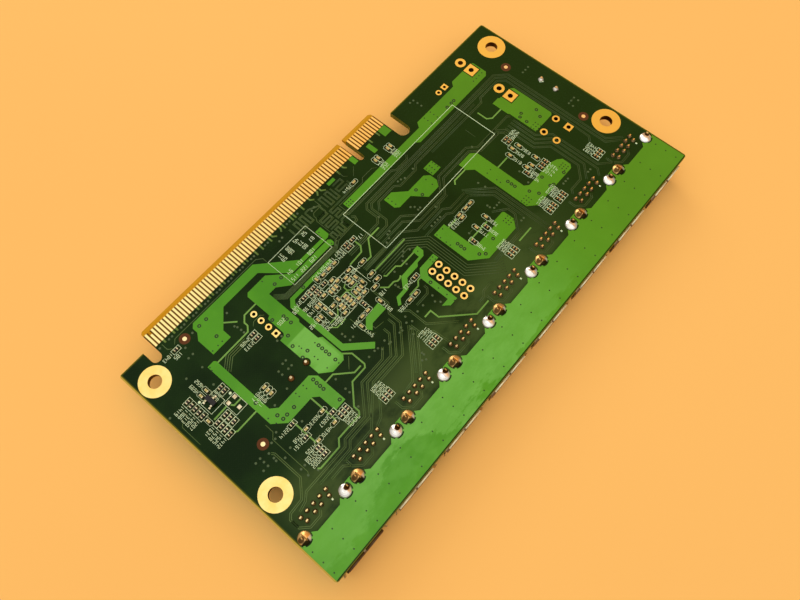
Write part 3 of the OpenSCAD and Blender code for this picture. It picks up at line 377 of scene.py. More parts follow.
# painted shadow: a dark brown disc round each leg's tip
off = local - SHADED_TIP[0] - second_leg * (SHADED_TIP[1] - SHADED_TIP[0])
reach = off * off * 0.7 + (along - 0.2) * (along - 0.2)
tip_shadow = (1 - reach.ramp(0.3, 0.66)) * (0.9 + second_leg * 0.1)
colour = joint.mix(tip_shadow, joint.mix(second_leg, warm, bright), ink(58, 38, 12))
joint.wear(base_color=colour, roughness=0.34 - second_leg * 0.14 + tip_shadow * 0.2,
           normal=joint.bump(drip + 0.5, 0.04))
sheet = Paint("shell_sheet", metallic=1.0)
x, y, z = sheet.place()
drawn = sheet.noise(1.5, 4, (0.2, 2.5, 1))
plate = sheet.mix(sheet.noise(0.2, 4).ramp(0.35, 0.75), ink(212, 212, 208), ink(188, 186, 178))
# painted shade on the shell metal in front of the board's edge
plate = sheet.mix((-0.1 - y).ramp(0, 0.2), plate, ink(150, 122, 88))
# painted shade on the first leg of each shell, above the board
plate = sheet.mix((z > TOP) * ((x - SOCKETS).wrap(STEP) < 0), plate, ink(128, 92, 44))
sheet.wear(base_color=plate, roughness=0.24 + drawn * 0.16,
           normal=sheet.bump(drawn, 0.006))
roll = Paint("rolled_lip", metallic=0.2)
# painted shade on the lips of the first socket and a painted highlight on the others
lit = roll.place()[0].ramp(14, 20) * (1 - roll.noise(0.3, 3).ramp(0.62, 0.7) * 0.4)
roll.wear(base_color=roll.mix(lit, ink(84, 58, 28), ink(255, 248, 206)),
          roughness=0.36 - lit * 0.1)
print("shield joints repeat every", STEP, "mm")

# %% [markdown]
# ## Moulded and fired bodies
# Chips are moulded in filled black resin, capacitors are fired tan ceramic, coil cores are
# pressed ferrite, the sockets' tongues are blue nylon. None of them is one flat tone: filler,
# fired specks and mould haze change both colour and gloss, so each takes grain from noise at its
# own size.

# %% Body finishes
def moulded(name, tone, speck, rough, grain=2.5, amount=0.5, depth=0.01):
    """A moulded or fired body: fine specks over slow haze, the same grain in gloss and bump."""
    paint = Paint(name, specular_ior_level=0.3)
    fine, slow = paint.noise(grain, 5), paint.noise(0.2, 3)
    shade = paint.mix(fine.ramp(0.5, 0.75) * amount, tone, speck)
    paint.wear(base_color=paint.mix(slow.ramp(0.4, 0.75) * 0.3, shade, speck),
               roughness=rough + fine * 0.2 - 0.1,
               normal=paint.bump(fine, depth))


moulded("black_resin", ink(24, 24, 26), ink(52, 52, 54), 0.5)
moulded("resistor_top", ink(34, 26, 22), ink(78, 62, 52), 0.42)
moulded("fired_brown", ink(184, 174, 98), ink(216, 206, 132), 0.45)
moulded("filter_brown", ink(126, 92, 62), ink(152, 116, 82), 0.45)
moulded("pressed_ferrite", ink(58, 58, 60), ink(92, 92, 94), 0.6, 1.5, 0.6, 0.02)
moulded("blue_nylon", ink(24, 74, 168), ink(38, 94, 190), 0.42, 1.2, 0.3)
moulded("chip_carrier", ink(30, 62, 40), ink(48, 84, 54), 0.45)
moulded("rubber_seal", ink(26, 25, 25), ink(46, 45, 44), 0.7)
print("eight moulded and fired bodies")

# %% [markdown]
# ## Print, bare laminate and via dimples
# The white print is epoxy ink: chalky, thin at its edges, with pinholes. Round each fiducial dot
# the mask is left off and brown laminate shows. A via in a copper field is a dark ring, where the
# copper stops short of it.

# %% Print and bare spots
moulded("white_print", ink(222, 248, 206), ink(194, 222, 176), 0.6, 6.0, 0.4, 0.008)
moulded("bare_laminate", ink(88, 46, 8), ink(106, 60, 14), 0.7, 2.0, 0.4)
moulded("mask_gap", ink(24, 46, 16), ink(36, 62, 22), 0.36, 2.0, 0.3)
moulded("mask_over_via", ink(70, 92, 56), ink(94, 114, 76), 0.36, 2.0, 0.4)
print("print, laminate and via finishes")

# %% [markdown]
# ## Finishes on the solids
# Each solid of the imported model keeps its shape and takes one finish. A table from finish to
# solids is easier to check than a long run of calls, and a count at the end shows that none is
# left out.

# %% Assign finishes
def socket_parts(part):
    """The solids of that part in all the sockets."""
    return [f"socket_{k + 1}_{part}" for k in range(COUNT)]


finishes = {
    "solder_mask_board": ["board"],
    "mask_over_field": ["ground_pour"],
    "mask_over_power": ["power_pours"],
    "mask_over_track": ["power_traces"],
    "contact_gold": ["contacts_solder_side", "contacts_part_side"],
    "pad_gold": ["mounting_rings", "header_two_row", "header_four_way", "jumper_pads",
                 "power_pads", "supply_pads"],
    "bright_dot": ["fiducials"],
    "shell_sheet": socket_parts("shell"),
    "blue_nylon": socket_parts("insulator"),
    "spring_metal": socket_parts("contacts"),
    "solder_metal": ["switch_balls"],
    "shield_joint_metal": ["shield_solder"],
    "pin_joint_metal": ["pin_solder"],
    "lead_joint_metal": ["lead_solder"],
    "resistor_top": ["chip_resistors"],
    "fired_brown": ["chip_capacitors"],
    "filter_brown": ["filter_capacitors"],
    "chip_end": ["chip_ends"],
    "tinned_end": ["bare_pads", "filter_ends", "transistor_leads", "inductor_terminals",
                   "regulator_leads", "capacitor_leads"],
    "black_resin": ["transistor_body", "switch_cap", "regulator_bodies"],
    "chip_carrier": ["switch_substrate"],
    "pressed_ferrite": ["inductor_cores"],
    "can_metal": ["capacitor_can_1", "capacitor_can_2"],
    "rubber_seal": ["capacitor_seals"],
    "crystal_metal": ["crystal_can"],
}
for finish, names in finishes.items():
    for name in names:
        nodes[name].data.materials.clear()
        nodes[name].data.materials.append(Paint.made[finish])
print(sum(len(names) for names in finishes.values()), "of", len(nodes), "solids finished")

# %% [markdown]
# ## Strips along paths
# Tracks and print lines are low strips. They could be curves with a bevel, but a mesh needs no
# conversion and keeps its corners sharp. A strip is a four-point profile carried along a path and
# set across each corner's bisector, so that both edges stay parallel. It is a whole-array sum,
# with no vertex loop.

# %% Strips along paths
def corner_vectors(path):
    """For each point the vector across the bisector whose part across either leg is one."""
    leg = np.diff(path, axis=0)
    leg /= np.linalg.norm(leg, axis=1, keepdims=True)
    across = np.c_[-leg[:, 1], leg[:, 0]]
    before, after = np.r_[across[:1], across], np.r_[across, across[-1:]]
    both = before + after
    return both / (both * before).sum(1, keepdims=True)


BAR = np.array([(-0.5, 0), (-0.38, 1), (0.38, 1), (0.5, 0)])
TRACK = 0.03  # the height of copper and mask over a track


def strip(path, width, height=TRACK, base=TOP, facing=1, profile=BAR):
    """Point (i, j) is path point i plus its corner vector times offset j, raised by height j."""
    path = np.asarray(path, float)
    offset, rise = profile[:, 0] * width, base + facing * profile[:, 1] * height
    flat = path[:, None] + corner_vectors(path)[:, None] * offset[None, :, None]
    points = np.dstack([flat, np.broadcast_to(rise, flat.shape[:2])])
    i, j = np.meshgrid(np.arange(len(path) - 1) * 4, np.arange(3), indexing="ij")
    start = (i + j).ravel()
    quads = np.c_[start, start + 4, start + 5, start + 1]
    last = 4 * (len(path) - 1)
    quads = np.r_[quads, [[0, 1, 2, 3]], [[last + 3, last + 2, last + 1, last]]]
    return points.reshape(-1, 3), quads[:, ::-1] if facing > 0 else quads


def side_by_side(path, count, pitch):
    """Copies of a path moved along its corner vectors, pitch apart and centred on it."""
    path = np.asarray(path, float)
    lanes = (np.arange(count) - (count - 1) / 2) * pitch
    return [path + corner_vectors(path) * lane for lane in lanes]


print("strips: a profile of", len(BAR), "points along any path")

# %% [markdown]
# ## Turned buttons and rings
# Vias are low buttons, rings and dots, hundreds of them. One primitive each would be slow and
# heavy, so a profile of radii and heights is turned about every centre at once, as one array.

# %% Turned profiles
def turned(centres, profile, base, sides=14, facing=1):
    """Point (c, k, i) is centre c plus profile radius i at angle k, raised by profile height i."""
    centres, profile = np.asarray(centres, float), np.asarray(profile, float)
    angle = np.arange(sides) * 2 * np.pi / sides
    circle = np.c_[np.cos(angle), np.sin(angle)]
    flat = centres[:, None, None] + circle[None, :, None] * profile[None, None, :, :1]
    rise = np.broadcast_to(base + facing * profile[:, 1], flat.shape[:3])
    n = len(profile)
    c, k, i = np.meshgrid(np.arange(len(centres)), np.arange(sides), np.arange(n - 1),
                          indexing="ij")
    here, there = (c * sides + k) * n + i, (c * sides + (k + 1) % sides) * n + i
    quads = np.stack([here, there, there + 1, here + 1], -1).reshape(-1, 4)
    points = np.dstack([flat.reshape(-1, 1, 2), rise.reshape(-1, 1, 1)]).reshape(-1, 3)
    return points, quads if facing > 0 else quads[:, ::-1]


COPPER = TOP + 0.05  # the top of the copper fields
BUTTON = [(0.3, 0), (0.22, 0.025), (0.001, 0.03)]
RING = [(0.5, 0), (0.49, 0.006), (0.21, 0.006), (0.2, 0)]
DOT = [(0.19, 0), (0.15, 0.006), (0.001, 0.007)]
GROUND = [(1.42, 0), (1.38, 0.012), (0.55, 0.012), (0.54, 0)]
print("turned profiles: button, ring, dot and ground")

# %% [markdown]
# ## Pieces that ride on the card
# On a real card all of this is one laminate with the board. Here each kind becomes one mesh of
# quads, written in one go from arrays, and rides on the card's body.

# %% Pieces
def piece(name, parts, finish):
    """Joins parts given in board millimetres into one mesh that rides on the card."""
    counts = np.cumsum([0] + [len(v) for v, _ in parts])
    points = (np.concatenate([v for v, _ in parts]) + [LEFT, EDGE, 0]) * MM
    quads = np.concatenate([f + n for (_, f), n in zip(parts, counts)])
    mesh = bpy.data.meshes.new(name)
    mesh.vertices.add(len(points))
    mesh.vertices.foreach_set("co", points.ravel())
    mesh.loops.add(quads.size)
    mesh.loops.foreach_set("vertex_index", quads.ravel())
    mesh.polygons.add(len(quads))
    mesh.polygons.foreach_set("loop_start", np.arange(len(quads)) * 4)
    mesh.update(calc_edges=True)
    mesh.validate()
    mesh.materials.append(Paint.made[finish])
    made = bpy.data.objects.new(name, mesh)
    bpy.context.scene.collection.objects.link(made)
    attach(made, "root")
    print(f"{name}: {len(parts)} parts, {len(quads)} faces")


print("pieces are joined in mm from", (round(LEFT, 2), round(EDGE, 2)))

# %% [markdown]
# ## Fine signal tracks
# Eight sockets send their pairs to one switch chip and on to the edge connector. The pairs run
# side by side in bundles, bend at 45 degrees and fold back and forth near the connector until
# their lengths match. A bundle is one path with a count, and a fold is a square wave worked out
# from its box.

# %% Tracks
pairs = [
    [(10.5, 29.3), (11, 28.6), (11, 20.6), (7.7, 17.1), (4, 16.9), (3, 16), (3, 13.6)],
    [(5.5, 15.6), (8, 16.2), (9.6, 17.5), (22.5, 17.5), (23.8, 18.7), (30.6, 18.7),
     (36.2, 24.6), (43.6, 24.6), (46, 26.6)],
    [(12.8, 16.3), (22.9, 16.3), (24.4, 17.7), (31.4, 17.7), (37, 23.6), (45.6, 23.6),
     (49.6, 27.6), (49.6, 29.4)],
    [(20, 15.4), (29.3, 15.5), (38, 22.6), (46.4, 22.6), (52.2, 28.3), (52.2, 30.2)],
    [(30, 14.8), (33, 15.8), (38.8, 21.6), (47.6, 21.6), (53.5, 27.4), (53.5, 31), (55.4, 33),
     (55.4, 38)],
    [(40.6, 15.4), (44.2, 15.6), (47, 18.2), (49.4, 20.6), (54.2, 25.4)],
    [(46.2, 14.6), (48.8, 17.2), (54.6, 23)], [(46.2, 16.2), (50.4, 20.4), (54.4, 24.4)],
    [(15.2, 15), (19, 15), (20.5, 13.5)],
    [(54.5, 25), (54.6, 22), (57, 19.8), (57.4, 15)],
    [(55.2, 30), (57.3, 27.6), (57.3, 22.3), (63, 16.6)],
    [(59.5, 27.2), (63.6, 27.2), (64.7, 28.2), (64.7, 29.2)],
    [(76.5, 39.3), (84.4, 39.3), (85.9, 37.9), (92, 37.9)],
    [(75.4, 37.6), (84, 37.6), (85.2, 36.6), (92, 36.6)],
    [(70, 16), (72, 16), (73, 17), (76.5, 17)],
    [(92, 39), (98.4, 32.6), (98.4, 14.4)], [(92, 37.9), (97.4, 32), (97.4, 14.4)],
    [(92, 36.6), (96.4, 31.6), (96.4, 22)],
    [(92, 29), (95.5, 26.3), (95.5, 24), (92, 20.5)],
    [(115, 42), (115, 32.4), (118.2, 29), (118.2, 20), (115, 17), (111, 17), (110, 16)],
    [(116.2, 42), (116.2, 33), (119.5, 29.6), (119.5, 19), (116, 15.8)],
    [(117.4, 42), (117.4, 33.6), (120.7, 30.2), (120.7, 15.5), (119, 13.8)],
    [(118.5, 42), (118.5, 34.4), (121.8, 31), (121.8, 16.3), (125, 13.2)],
    [(67.2, 47.2), (71.4, 47.2), (72.6, 48.4), (72.6, 53.4), (73.7, 54.5), (126.6, 54.5),
     (129, 52.1), (129, 18.6), (132.6, 15.4)],
    [(67.2, 49.4), (70.4, 49.4), (71.6, 50.6), (71.6, 54.2), (72.8, 55.4), (127, 55.4),
     (130, 52.4), (130, 19.2), (133.4, 15.8)],
    [(73.3, 51.4), (75.3, 53.4), (81.4, 53.4), (82.6, 52.2), (89, 52.2), (90.2, 53.4),
     (115.8, 53.4)],
    [(96, 52.4), (117.4, 52.2), (118.6, 53.4), (126.2, 53.4), (127.9, 51.6), (127.9, 30),
     (127.6, 23), (126, 21.6)],
    [(66.8, 46.2), (75.8, 46.2), (79.2, 42.8), (87.8, 42.6), (91.4, 46.3), (103, 46.3),
     (105.3, 44), (118.4, 44), (119, 43.2)],
    [(66.8, 44.8), (74.8, 44.8), (78, 41.6), (88.2, 41.5), (91.8, 45), (102.6, 45),
     (105, 42.6), (113, 42.4), (114.2, 41.2)],
    [(58.4, 43.2), (70, 43.4), (72.2, 43.4), (75.4, 40.3), (84, 40.3), (85, 41), (88.6, 41)],
    [(58, 52.6), (60.2, 54), (67.6, 54.2), (68, 55.2), (67.4, 56)],
    [(55.8, 50.6), (59.8, 54.4), (61.2, 54.4)],
    [(67.6, 58), (67.6, 57), (84.6, 57), (85.6, 56.1), (90, 56.1), (91, 57.1)],
]
round_pins = [(-5.8, 15.6), (-5.8, 13.4), (-4, 11.6), (-0.8, 11.6), (0.1, 12.5)]
bundles = [
    (5, 0.72, [(60.5, 40.2), (70.6, 40.2), (74.7, 36.2), (74.7, 23.8), (80.2, 18.4), (82, 17)]),
    (3, 0.42, [(81.6, 19.8), (90, 19.8), (93, 19.8)]),
    (7, 0.22, [(38.2, 55.6), (40.4, 53.3), (57.4, 53.2), (58.2, 52.6)]),
    (4, 0.55, [(17.5, 50.6), (20.6, 53.1), (26, 53.1)]),
    (3, 0.5, [(58.4, 43.3), (66.2, 43.3)]),
    (3, 0.5, [(59, 49), (65.6, 49), (67, 49.6)]),
    (3, 0.6, [(107.6, 43.2), (112.4, 43.2), (114, 41.6), (114, 39)]),
]
singles = [
    [(14.3, 34.8), (14.3, 32.4), (13, 31.2), (13, 20.2), (12.6, 19.6)], [(36.6, 29), (39, 31.3)],
    [(14, 65.2), (15, 66.2), (42.6, 66.2), (44, 65), (44, 63.6)],
    [(12, 67.6), (12, 65.6), (12.9, 64.8)],
    [(1.5, 43), (1.5, 49), (2.2, 49.7)], [(29.5, 54), (30.5, 54.8), (32.6, 54.8), (33.4, 54)],
    [(107.5, 50), (107.5, 46.5)], [(133, 33.5), (135.5, 33.5)],
    [(67.8, 57.9), (67.8, 60.5), (77, 60.5), (78, 61.5), (81.8, 61.5), (82.8, 60.6)],
    [(60.6, 57), (60.6, 61.8), (61.2, 62.6), (61.2, 63.4), (61.8, 64.1), (64.6, 64.1),
     (64.6, 66.4)],
    [(75, 67.6), (75, 65.6), (75.8, 64.8)], [(79, 65.6), (76.8, 63.6)],
    [(46.2, 37.4), (46.2, 31.6), (47.6, 30.2)],
    [(48.4, 33), (48.4, 31), (51, 30.6)], [(60.2, 34.7), (60.2, 33.2), (62, 31.6)],
    [(83.4, 29.6), (85, 29.6)],
]


def folds(x0, x1, y0, y1, turns, along="y"):
    """A square wave: turns bars across the box, joined end to end alternately on either side."""
    step = np.repeat(np.linspace(0, 1, turns), 2)
    swing = np.tile([0, 1, 1, 0], turns)[: 2 * turns]
    if along == "y":
        return np.c_[x0 + (x1 - x0) * swing, y0 + (y1 - y0) * step]
    return np.c_[x0 + (x1 - x0) * step, y0 + (y1 - y0) * swing]


meanders = [
    folds(61.2, 64, 57.4, 62.2, 6), folds(60, 65, 54.7, 56.6, 6, "x"),
    folds(65, 67, 57.3, 61.3, 5),
    folds(56, 60.3, 62.7, 65.8, 5, "x"), folds(65.6, 69.9, 62.3, 65.8, 5, "x"),
    folds(70.9, 73.8, 62.2, 65.8, 4),
    [(54.2, 65.6), (54.2, 63.4), (55, 62.7), (56, 62.7)],
    [(60.3, 65.8), (61.6, 65.8), (64.2, 64.6), (64.2, 62.2), (61.2, 62.2)],
    [(67, 61.3), (74, 61.3), (74.6, 61.9), (74.6, 64)], [(65, 57.3), (65, 54.7)],
    [(58.4, 53.4), (60, 54.7)],
]
pairs += [np.array(round_pins) + [SOCKETS + STEP * k, 0] for k in range(COUNT)]
PAIR_PITCH, FOLD_PITCH, CLOSE = 0.4, 0.28, 0.3
fine = [strip(lane, 0.18) for p in pairs for lane in side_by_side(p, 2, PAIR_PITCH)]
fine += [strip(lane, 0.2 if pitch > CLOSE else 0.12)
         for n, pitch, p in bundles for lane in side_by_side(p, n, pitch)]
fine += [strip(p, 0.16) for p in singles]
fine += [strip(lane, 0.16) for p in meanders for lane in side_by_side(p, 2, FOLD_PITCH)]
piece("fine_tracks", fine, "mask_over_fine_track")

# %% [markdown]
# ## Stubs under the contacts
# Below many contacts a short piece of copper runs on under the mask and shows as a bright stub.
# The contacts stand 1 mm apart, so each stub starts at a whole number of millimetres. The long
# regular run has two in every four, and the others are typed.

# %% Contact stubs
column = np.arange(11, 44)
ends = [(c, c, 67.2) for c in column[(column % 4 < 2) & (column > 12)]]
ends += [(c, c, 66.6) for c in (44, 46, 49, 54, 57, 58, 61, 75, 88, 91)]
ends += [(50, 50.9, 66.7), (53, 52.5, 66.7), (64, 64.9, 66.7), (67, 66.3, 66.8), (68, 69, 66.4),
         (77, 77.6, 66.7)]
STUB_TOP = 68.3
stubs = [strip([(c, STUB_TOP), (c, low + 0.8), (away, low)], 0.45)
         for c, away, low in ends]
piece("contact_stubs", stubs, "mask_over_stub")

# %% [markdown]
# ## Vias
# Every change of layer is a plated hole that the mask has closed. On dark board it shows as a
# pale dimple, in a copper field as a dark ring or dot. They are three sets of turned profiles, a
# few dozen faces each. The bare grounds round the fiducials are turned in the same way.

# %% Via buttons, rings and dots
tented = [
    (6.7, 30.4), (8.1, 30.4), (8.1, 29.2), (6.7, 27.9), (8.1, 27.9), (10.2, 29.7), (10.2, 28.1),
    (10.1, 27.3), (12.3, 30.9), (13.5, 30.9), (14.7, 31.8), (14.3, 26.9), (11.9, 26.2),
    (12.4, 21.7), (13.6, 21.7), (12.5, 19.6), (14.8, 18.7), (20.4, 29), (32.8, 29.8),
    (32.6, 26.5), (32.6, 25.2), (31.4, 21.4), (42.1, 36.2), (42.1, 35.2), (42.2, 33.7),
    (43.3, 33.7), (44, 27.4), (42, 27.4), (45, 27.2), (45.5, 26.3), (25.4, 41.4), (25.4, 40.2),
    (27.4, 40.1), (28.5, 40.1), (27.4, 42), (28.5, 42), (19, 36.4), (23.7, 37), (67.4, 38.4),
    (70, 38.3), (68.5, 39.2), (78.8, 38.3), (80.1, 38.3), (81.2, 38.3), (82.2, 38.3), (83.8, 41),
    (60.2, 34.7), (60.3, 33.8), (62.8, 37.2), (66.4, 37.6), (66.4, 36.3), (58.4, 26), (60.5, 26),
    (63.2, 24.4), (64, 23.3), (64, 25.9), (54, 24.3), (55.6, 25.4), (54.4, 26.2), (55.4, 27.4),
    (51.4, 25.8), (52.2, 25.7), (52.6, 26.4), (47.5, 27.3), (47.6, 25.9), (48.2, 25.9),
    (51, 18.4), (51, 17.8), (49.6, 17.2), (50.4, 16.6), (53.3, 23), (83.4, 29.6), (92.8, 31),
    (92.8, 30.2), (93.4, 29.2), (94.5, 29.2), (95.5, 29.2), (96.6, 37), (96.9, 34.9), (105.3, 27),
    (106.5, 30.8), (111, 19.7), (112, 19.7), (113, 19.7), (118.2, 16.8), (119.2, 16.8),
    (95, 21.6), (96, 21.6), (133, 33.5), (134.2, 33.5), (135.5, 33.5), (133, 32.1), (135.5, 32.1),
    (133.3, 49.6), (134.5, 49.6), (135.8, 49.6), (104.6, 67.3), (105.8, 67.1), (105.9, 65.7),
    (105.9, 64.3), (10, 56.8), (14.4, 56), (13.8, 60.1), (15.2, 60.1), (18.8, 64.1), (15.1, 62.6),
    (13.2, 50.9), (1.1, 52.8), (27.8, 61.4), (26.6, 57.5), (26.9, 56.8), (27, 55.6), (27, 54.6),
    (30.7, 47), (32.2, 47), (83.2, 53.5), (84.2, 53.3), (85.2, 52.8), (88.8, 53), (71.9, 50.4),
    (67.7, 44), (69, 44.4), (69.6, 45.4), (70.6, 45.6), (79.5, 46), (80.2, 45.2), (80.2, 44),
    (81, 44), (50.2, 65.2), (51.4, 65.4), (62, 64.9), (63.2, 65.2), (83.8, 41.2), (104.4, 45.2),
]
tented += [(c, 67.2) for c in (11, *column[(column % 4 > 1) & (column > 13)], 47, 48, 55, 56, 59)]
vias = np.array(tented, float)
piece("tented_vias", [turned(vias, BUTTON, TOP)], "mask_over_via")
ringed = [
    (17.7, 34.3), (18, 32.7), (19.3, 32.7), (21.6, 32.7), (29.3, 33.8), (29.2, 32.6),
    (29.2, 31.5), (29.2, 30.4), (29.8, 25.8), (16.5, 40.2), (33.6, 39.7), (31.6, 39.4),
    (36.3, 38.6), (36.3, 37.4), (36.3, 36.2), (36.3, 35.1), (36.3, 33.1), (79.1, 30),
    (79.1, 28.9), (79.1, 27.8), (80.4, 24), (81.5, 22.8), (86.1, 24), (66.4, 28.5), (102, 31.3),
    (102, 30.1), (102, 29), (103.3, 25.2), (104.4, 22.9), (108.9, 25.2), (108.2, 22),
    (109.1, 21.5), (113.8, 21.6), (120.5, 41.1), (121.7, 41.6), (120.5, 38.8), (125.4, 39.1),
    (124.2, 37), (21.1, 64.1), (23.4, 64.1), (40.9, 57.8), (43.2, 57.8), (33.7, 51.6),
    (36.2, 50.2), (36.2, 49.1), (36.2, 47.7), (33.3, 45.9), (32.1, 43.2), (44.9, 51.8),
    (110.1, 58.5), (111.9, 58.5), (113, 58.5), (84.3, 48.2), (84.3, 46), (22, 59),
]
piece("ringed_vias", [turned(ringed, RING, COPPER, 16)], "mask_gap")


def grid(x0, x1, y0, y1, n, m):
    """n by m points that fill a box from corner to corner."""
    columns, rows = np.meshgrid(np.linspace(x0, x1, n), np.linspace(y0, y1, m))
    return np.stack([columns, rows], -1).reshape(-1, 2)


blocks = [
    (91.9, 93.7, 23.3, 25.1, 3, 3), (99.6, 101.6, 23.3, 25, 3, 3), (114.5, 116, 21.8, 23.5, 3, 3),
    (119.8, 121.8, 35, 36.8, 3, 3), (24.2, 26.7, 33.5, 34.6, 2, 2), (71.1, 72.1, 31.6, 32.5, 2, 2),
    (69.4, 71, 58.6, 59.4, 3, 2), (103.2, 105.8, 58.5, 61, 2, 3), (121.8, 125.6, 58.4, 58.4, 4, 1),
    (91, 93.6, 48.4, 50.2, 3, 3), (7.6, 137.1, 1.45, 7.8, 18, 3), (1.3, 1.31, 1.45, 7.8, 1, 3),
]
lone = [
    (15.8, 35.4), (16.2, 33.2), (33.6, 37.4), (33.6, 36.3), (33.5, 33.2), (36.2, 39.7),
    (36.2, 31.9), (77.6, 35.6), (77.6, 34.4), (77.6, 32.5), (77.6, 31.2), (79.9, 35.6),
    (100.5, 37), (101.9, 37), (100.5, 33.8), (100.5, 32.6), (66.5, 26), (66.5, 23.3),
    (66.5, 20.9), (70.9, 36.4), (77.6, 52.1), (77.6, 50.8), (77.6, 49.5), (88.4, 48.2),
    (88.4, 46), (33.1, 42), (33.1, 41.2), (15.5, 54.5), (15.3, 53.6), (39.4, 60.7), (18.8, 57),
    (20.6, 57), (22, 57), (58.6, 59.2), (58.4, 54.6),
]
dots = np.concatenate([grid(*block) for block in blocks] + [lone])
piece("field_dots", [turned(dots, DOT, COPPER, 10)], "mask_gap")
fiducial_spots = np.array([(16.54, 64.4), (10.83, 32.2), (131.64, 54.4), (132, 27.9)])
piece("fiducial_grounds", [turned(fiducial_spots, GROUND, TOP, 40)], "bare_laminate")

# %% [markdown]
# ## Chip outlines
# Each chip part has a printed box round it: square round a resistor, rounded round a capacitor. A
# list of places could be typed, but it would drift from the solids, so the places are read from
# them: the top of a body is a rectangle, and either triangle of a rectangle has the rectangle's
# own box. The tinned ends beside a body tell which way the chip lies.

# %% Read the chips and draw their boxes
def top_boxes(name):
    """Boxes, in board millimetres, of the rectangles that make a solid's highest faces."""
    mesh = nodes[name].data
    mesh.calc_loop_triangles()
    points = np.empty(len(mesh.vertices) * 3)
    mesh.vertices.foreach_get("co", points)
    corner = np.empty(len(mesh.loop_triangles) * 3, int)
    mesh.loop_triangles.foreach_get("vertices", corner)
    triangle = (points.reshape(-1, 3) / MM - [LEFT, EDGE, 0])[corner.reshape(-1, 3)]
    high = triangle[..., 2].min(1) > triangle[..., 2].max() - 1e-3
    boxes = np.c_[triangle.min(1), triangle.max(1)][high][:, [0, 1, 3, 4]]
    return np.unique(boxes.round(3), axis=0)


resistors = top_boxes("chip_resistors")
bodies = np.r_[resistors, top_boxes("chip_capacitors")]
middle = (bodies[:, :2] + bodies[:, 2:]) / 2
ends = top_boxes("chip_ends")
end_middle, end_size = (ends[:, :2] + ends[:, 2:]) / 2, ends[:, 2:] - ends[:, :2]
nearest = np.linalg.norm(end_middle[:, None] - middle[None], axis=2).argmin(1)
out = np.sign((end_middle - middle[nearest]).round(2))
side = out[:, ::-1]
lengthwise = np.zeros(len(bodies), bool)
lengthwise[nearest] = out[:, 0] != 0
print(len(bodies), "chips,", int(lengthwise.sum()), "of them lengthwise")
SQUARE = np.array([(-1.15, 0), (-1.15, -0.62), (1.15, -0.62), (1.15, 0.62), (-1.15, 0.62),
                   (-1.15, 0)])
PILL = np.array([(-1.25, 0), (-1.25, -0.25), (-0.95, -0.6), (0.95, -0.6), (1.25, -0.25),
                 (1.25, 0.25), (0.95, 0.6), (-0.95, 0.6), (-1.25, 0.25), (-1.25, 0)])
shapes = [SQUARE] * len(resistors) + [PILL] * (len(bodies) - len(resistors))
boxed = [m + (shape if long else shape[:, ::-1])
         for m, long, shape in zip(middle, lengthwise, shapes)]

# %% [markdown]
# ## Fillets
# Solder climbs the tinned ends of a chip and sets as a small ramp. A ramp is a wedge of eight
# points: its reach in millimetres, its breadth and height as shares of an end's. It is given once,
# then turned and set against every end in one sum.

# %% Pour the fillets
foot = end_middle + out * end_size / 2
chip_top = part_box("chip_ends")[1].z / MM
CLIMB = 0.8  # how far up a chip's end the solder reaches
wedge = np.array([(0, -0.48, 0), (0, 0.48, 0), (0, 0.48, 1), (0, -0.48, 1),
                  (0.26, -0.42, 0), (0.26, 0.42, 0), (0.1, 0.44, 0.35), (0.1, -0.44, 0.35)])
breadth = (np.abs(side) * end_size)[:, None]
flat = foot[:, None] + out[:, None] * wedge[None, :, :1] + breadth * wedge[None, :, 1:2]
rise = np.broadcast_to(TOP + wedge[:, 2] * (chip_top - TOP) * CLIMB, flat.shape[:2])
ramp_points = np.dstack([flat, rise]).reshape(-1, 3)
skin = np.array([(3, 2, 6, 7), (7, 6, 5, 4), (2, 1, 5, 6), (0, 3, 7, 4)])
quads = skin[None] + len(wedge) * np.arange(len(ends))[:, None, None]
mirrored = (out[:, 0] + out[:, 1] < 0) != (np.abs(out[:, 1]) > 0)
quads = np.where(mirrored[:, None, None], quads, quads[..., ::-1]).reshape(-1, 4)
piece("chip_fillets", [(ramp_points, quads)], "chip_joint_metal")

# %% [markdown]
# ## Leg tips and rolled lips
# A shell's legs end just above their joints, and the rolled edges of its lip catch the light in
# front of the board. Both are short bars at the sockets' pitch, the lips with a rounder profile.

# %% Bars at the sockets
ROLL = np.array([(-0.5, 0), (-0.5, 0.55), (0.4, 1), (0.5, 0)])
LIP_X, LIP_Y, LIP_Z, LIP_HALF = 3.05, -0.66, 6.8, 2.75  # a lip's place and half its length
LIP_SIZE, TIP_SIZE, TIP_LONG = (0.48, 0.28), (0.4, 0.9), 0.65  # width and height, and length
centres = SOCKETS + STEP * np.arange(COUNT)
tips = (centres[:, None] + np.array([-1, 1]) * LEG_X + SHADED_TIP + 0.3).ravel()
piece("shield_leg_tips",
      [strip([(t, LEG_Y), (t, LEG_Y + TIP_LONG)], *TIP_SIZE) for t in tips],
      "shield_leg_metal")
rolls = (centres[:, None] + np.array([-LIP_X, LIP_X])).ravel()
piece("rolled_lips",
      [strip([(c - LIP_HALF, LIP_Y), (c + LIP_HALF, LIP_Y)], *LIP_SIZE, LIP_Z, profile=ROLL)
       for c in rolls],
      "rolled_lip")

# %% [markdown]
# ## White print
# Lines of print mark out the chips, two open areas and a few polarised parts, and short plain
# numbers stand beside the chip rows. A font would bring far more faces than the eye sees at this
# size, so a digit is a few strokes on a grid one wide and two high. The words and signs of a real
# card are left off, so its larger places stay bare.

# %% Print lines and plain numbers
PRINT = 0.066  # the height of the ink
WIDE_LINE, FRAME_LINE, SQUARE_LINE, PILL_LINE = 0.15, 0.11, 0.1, 0.08


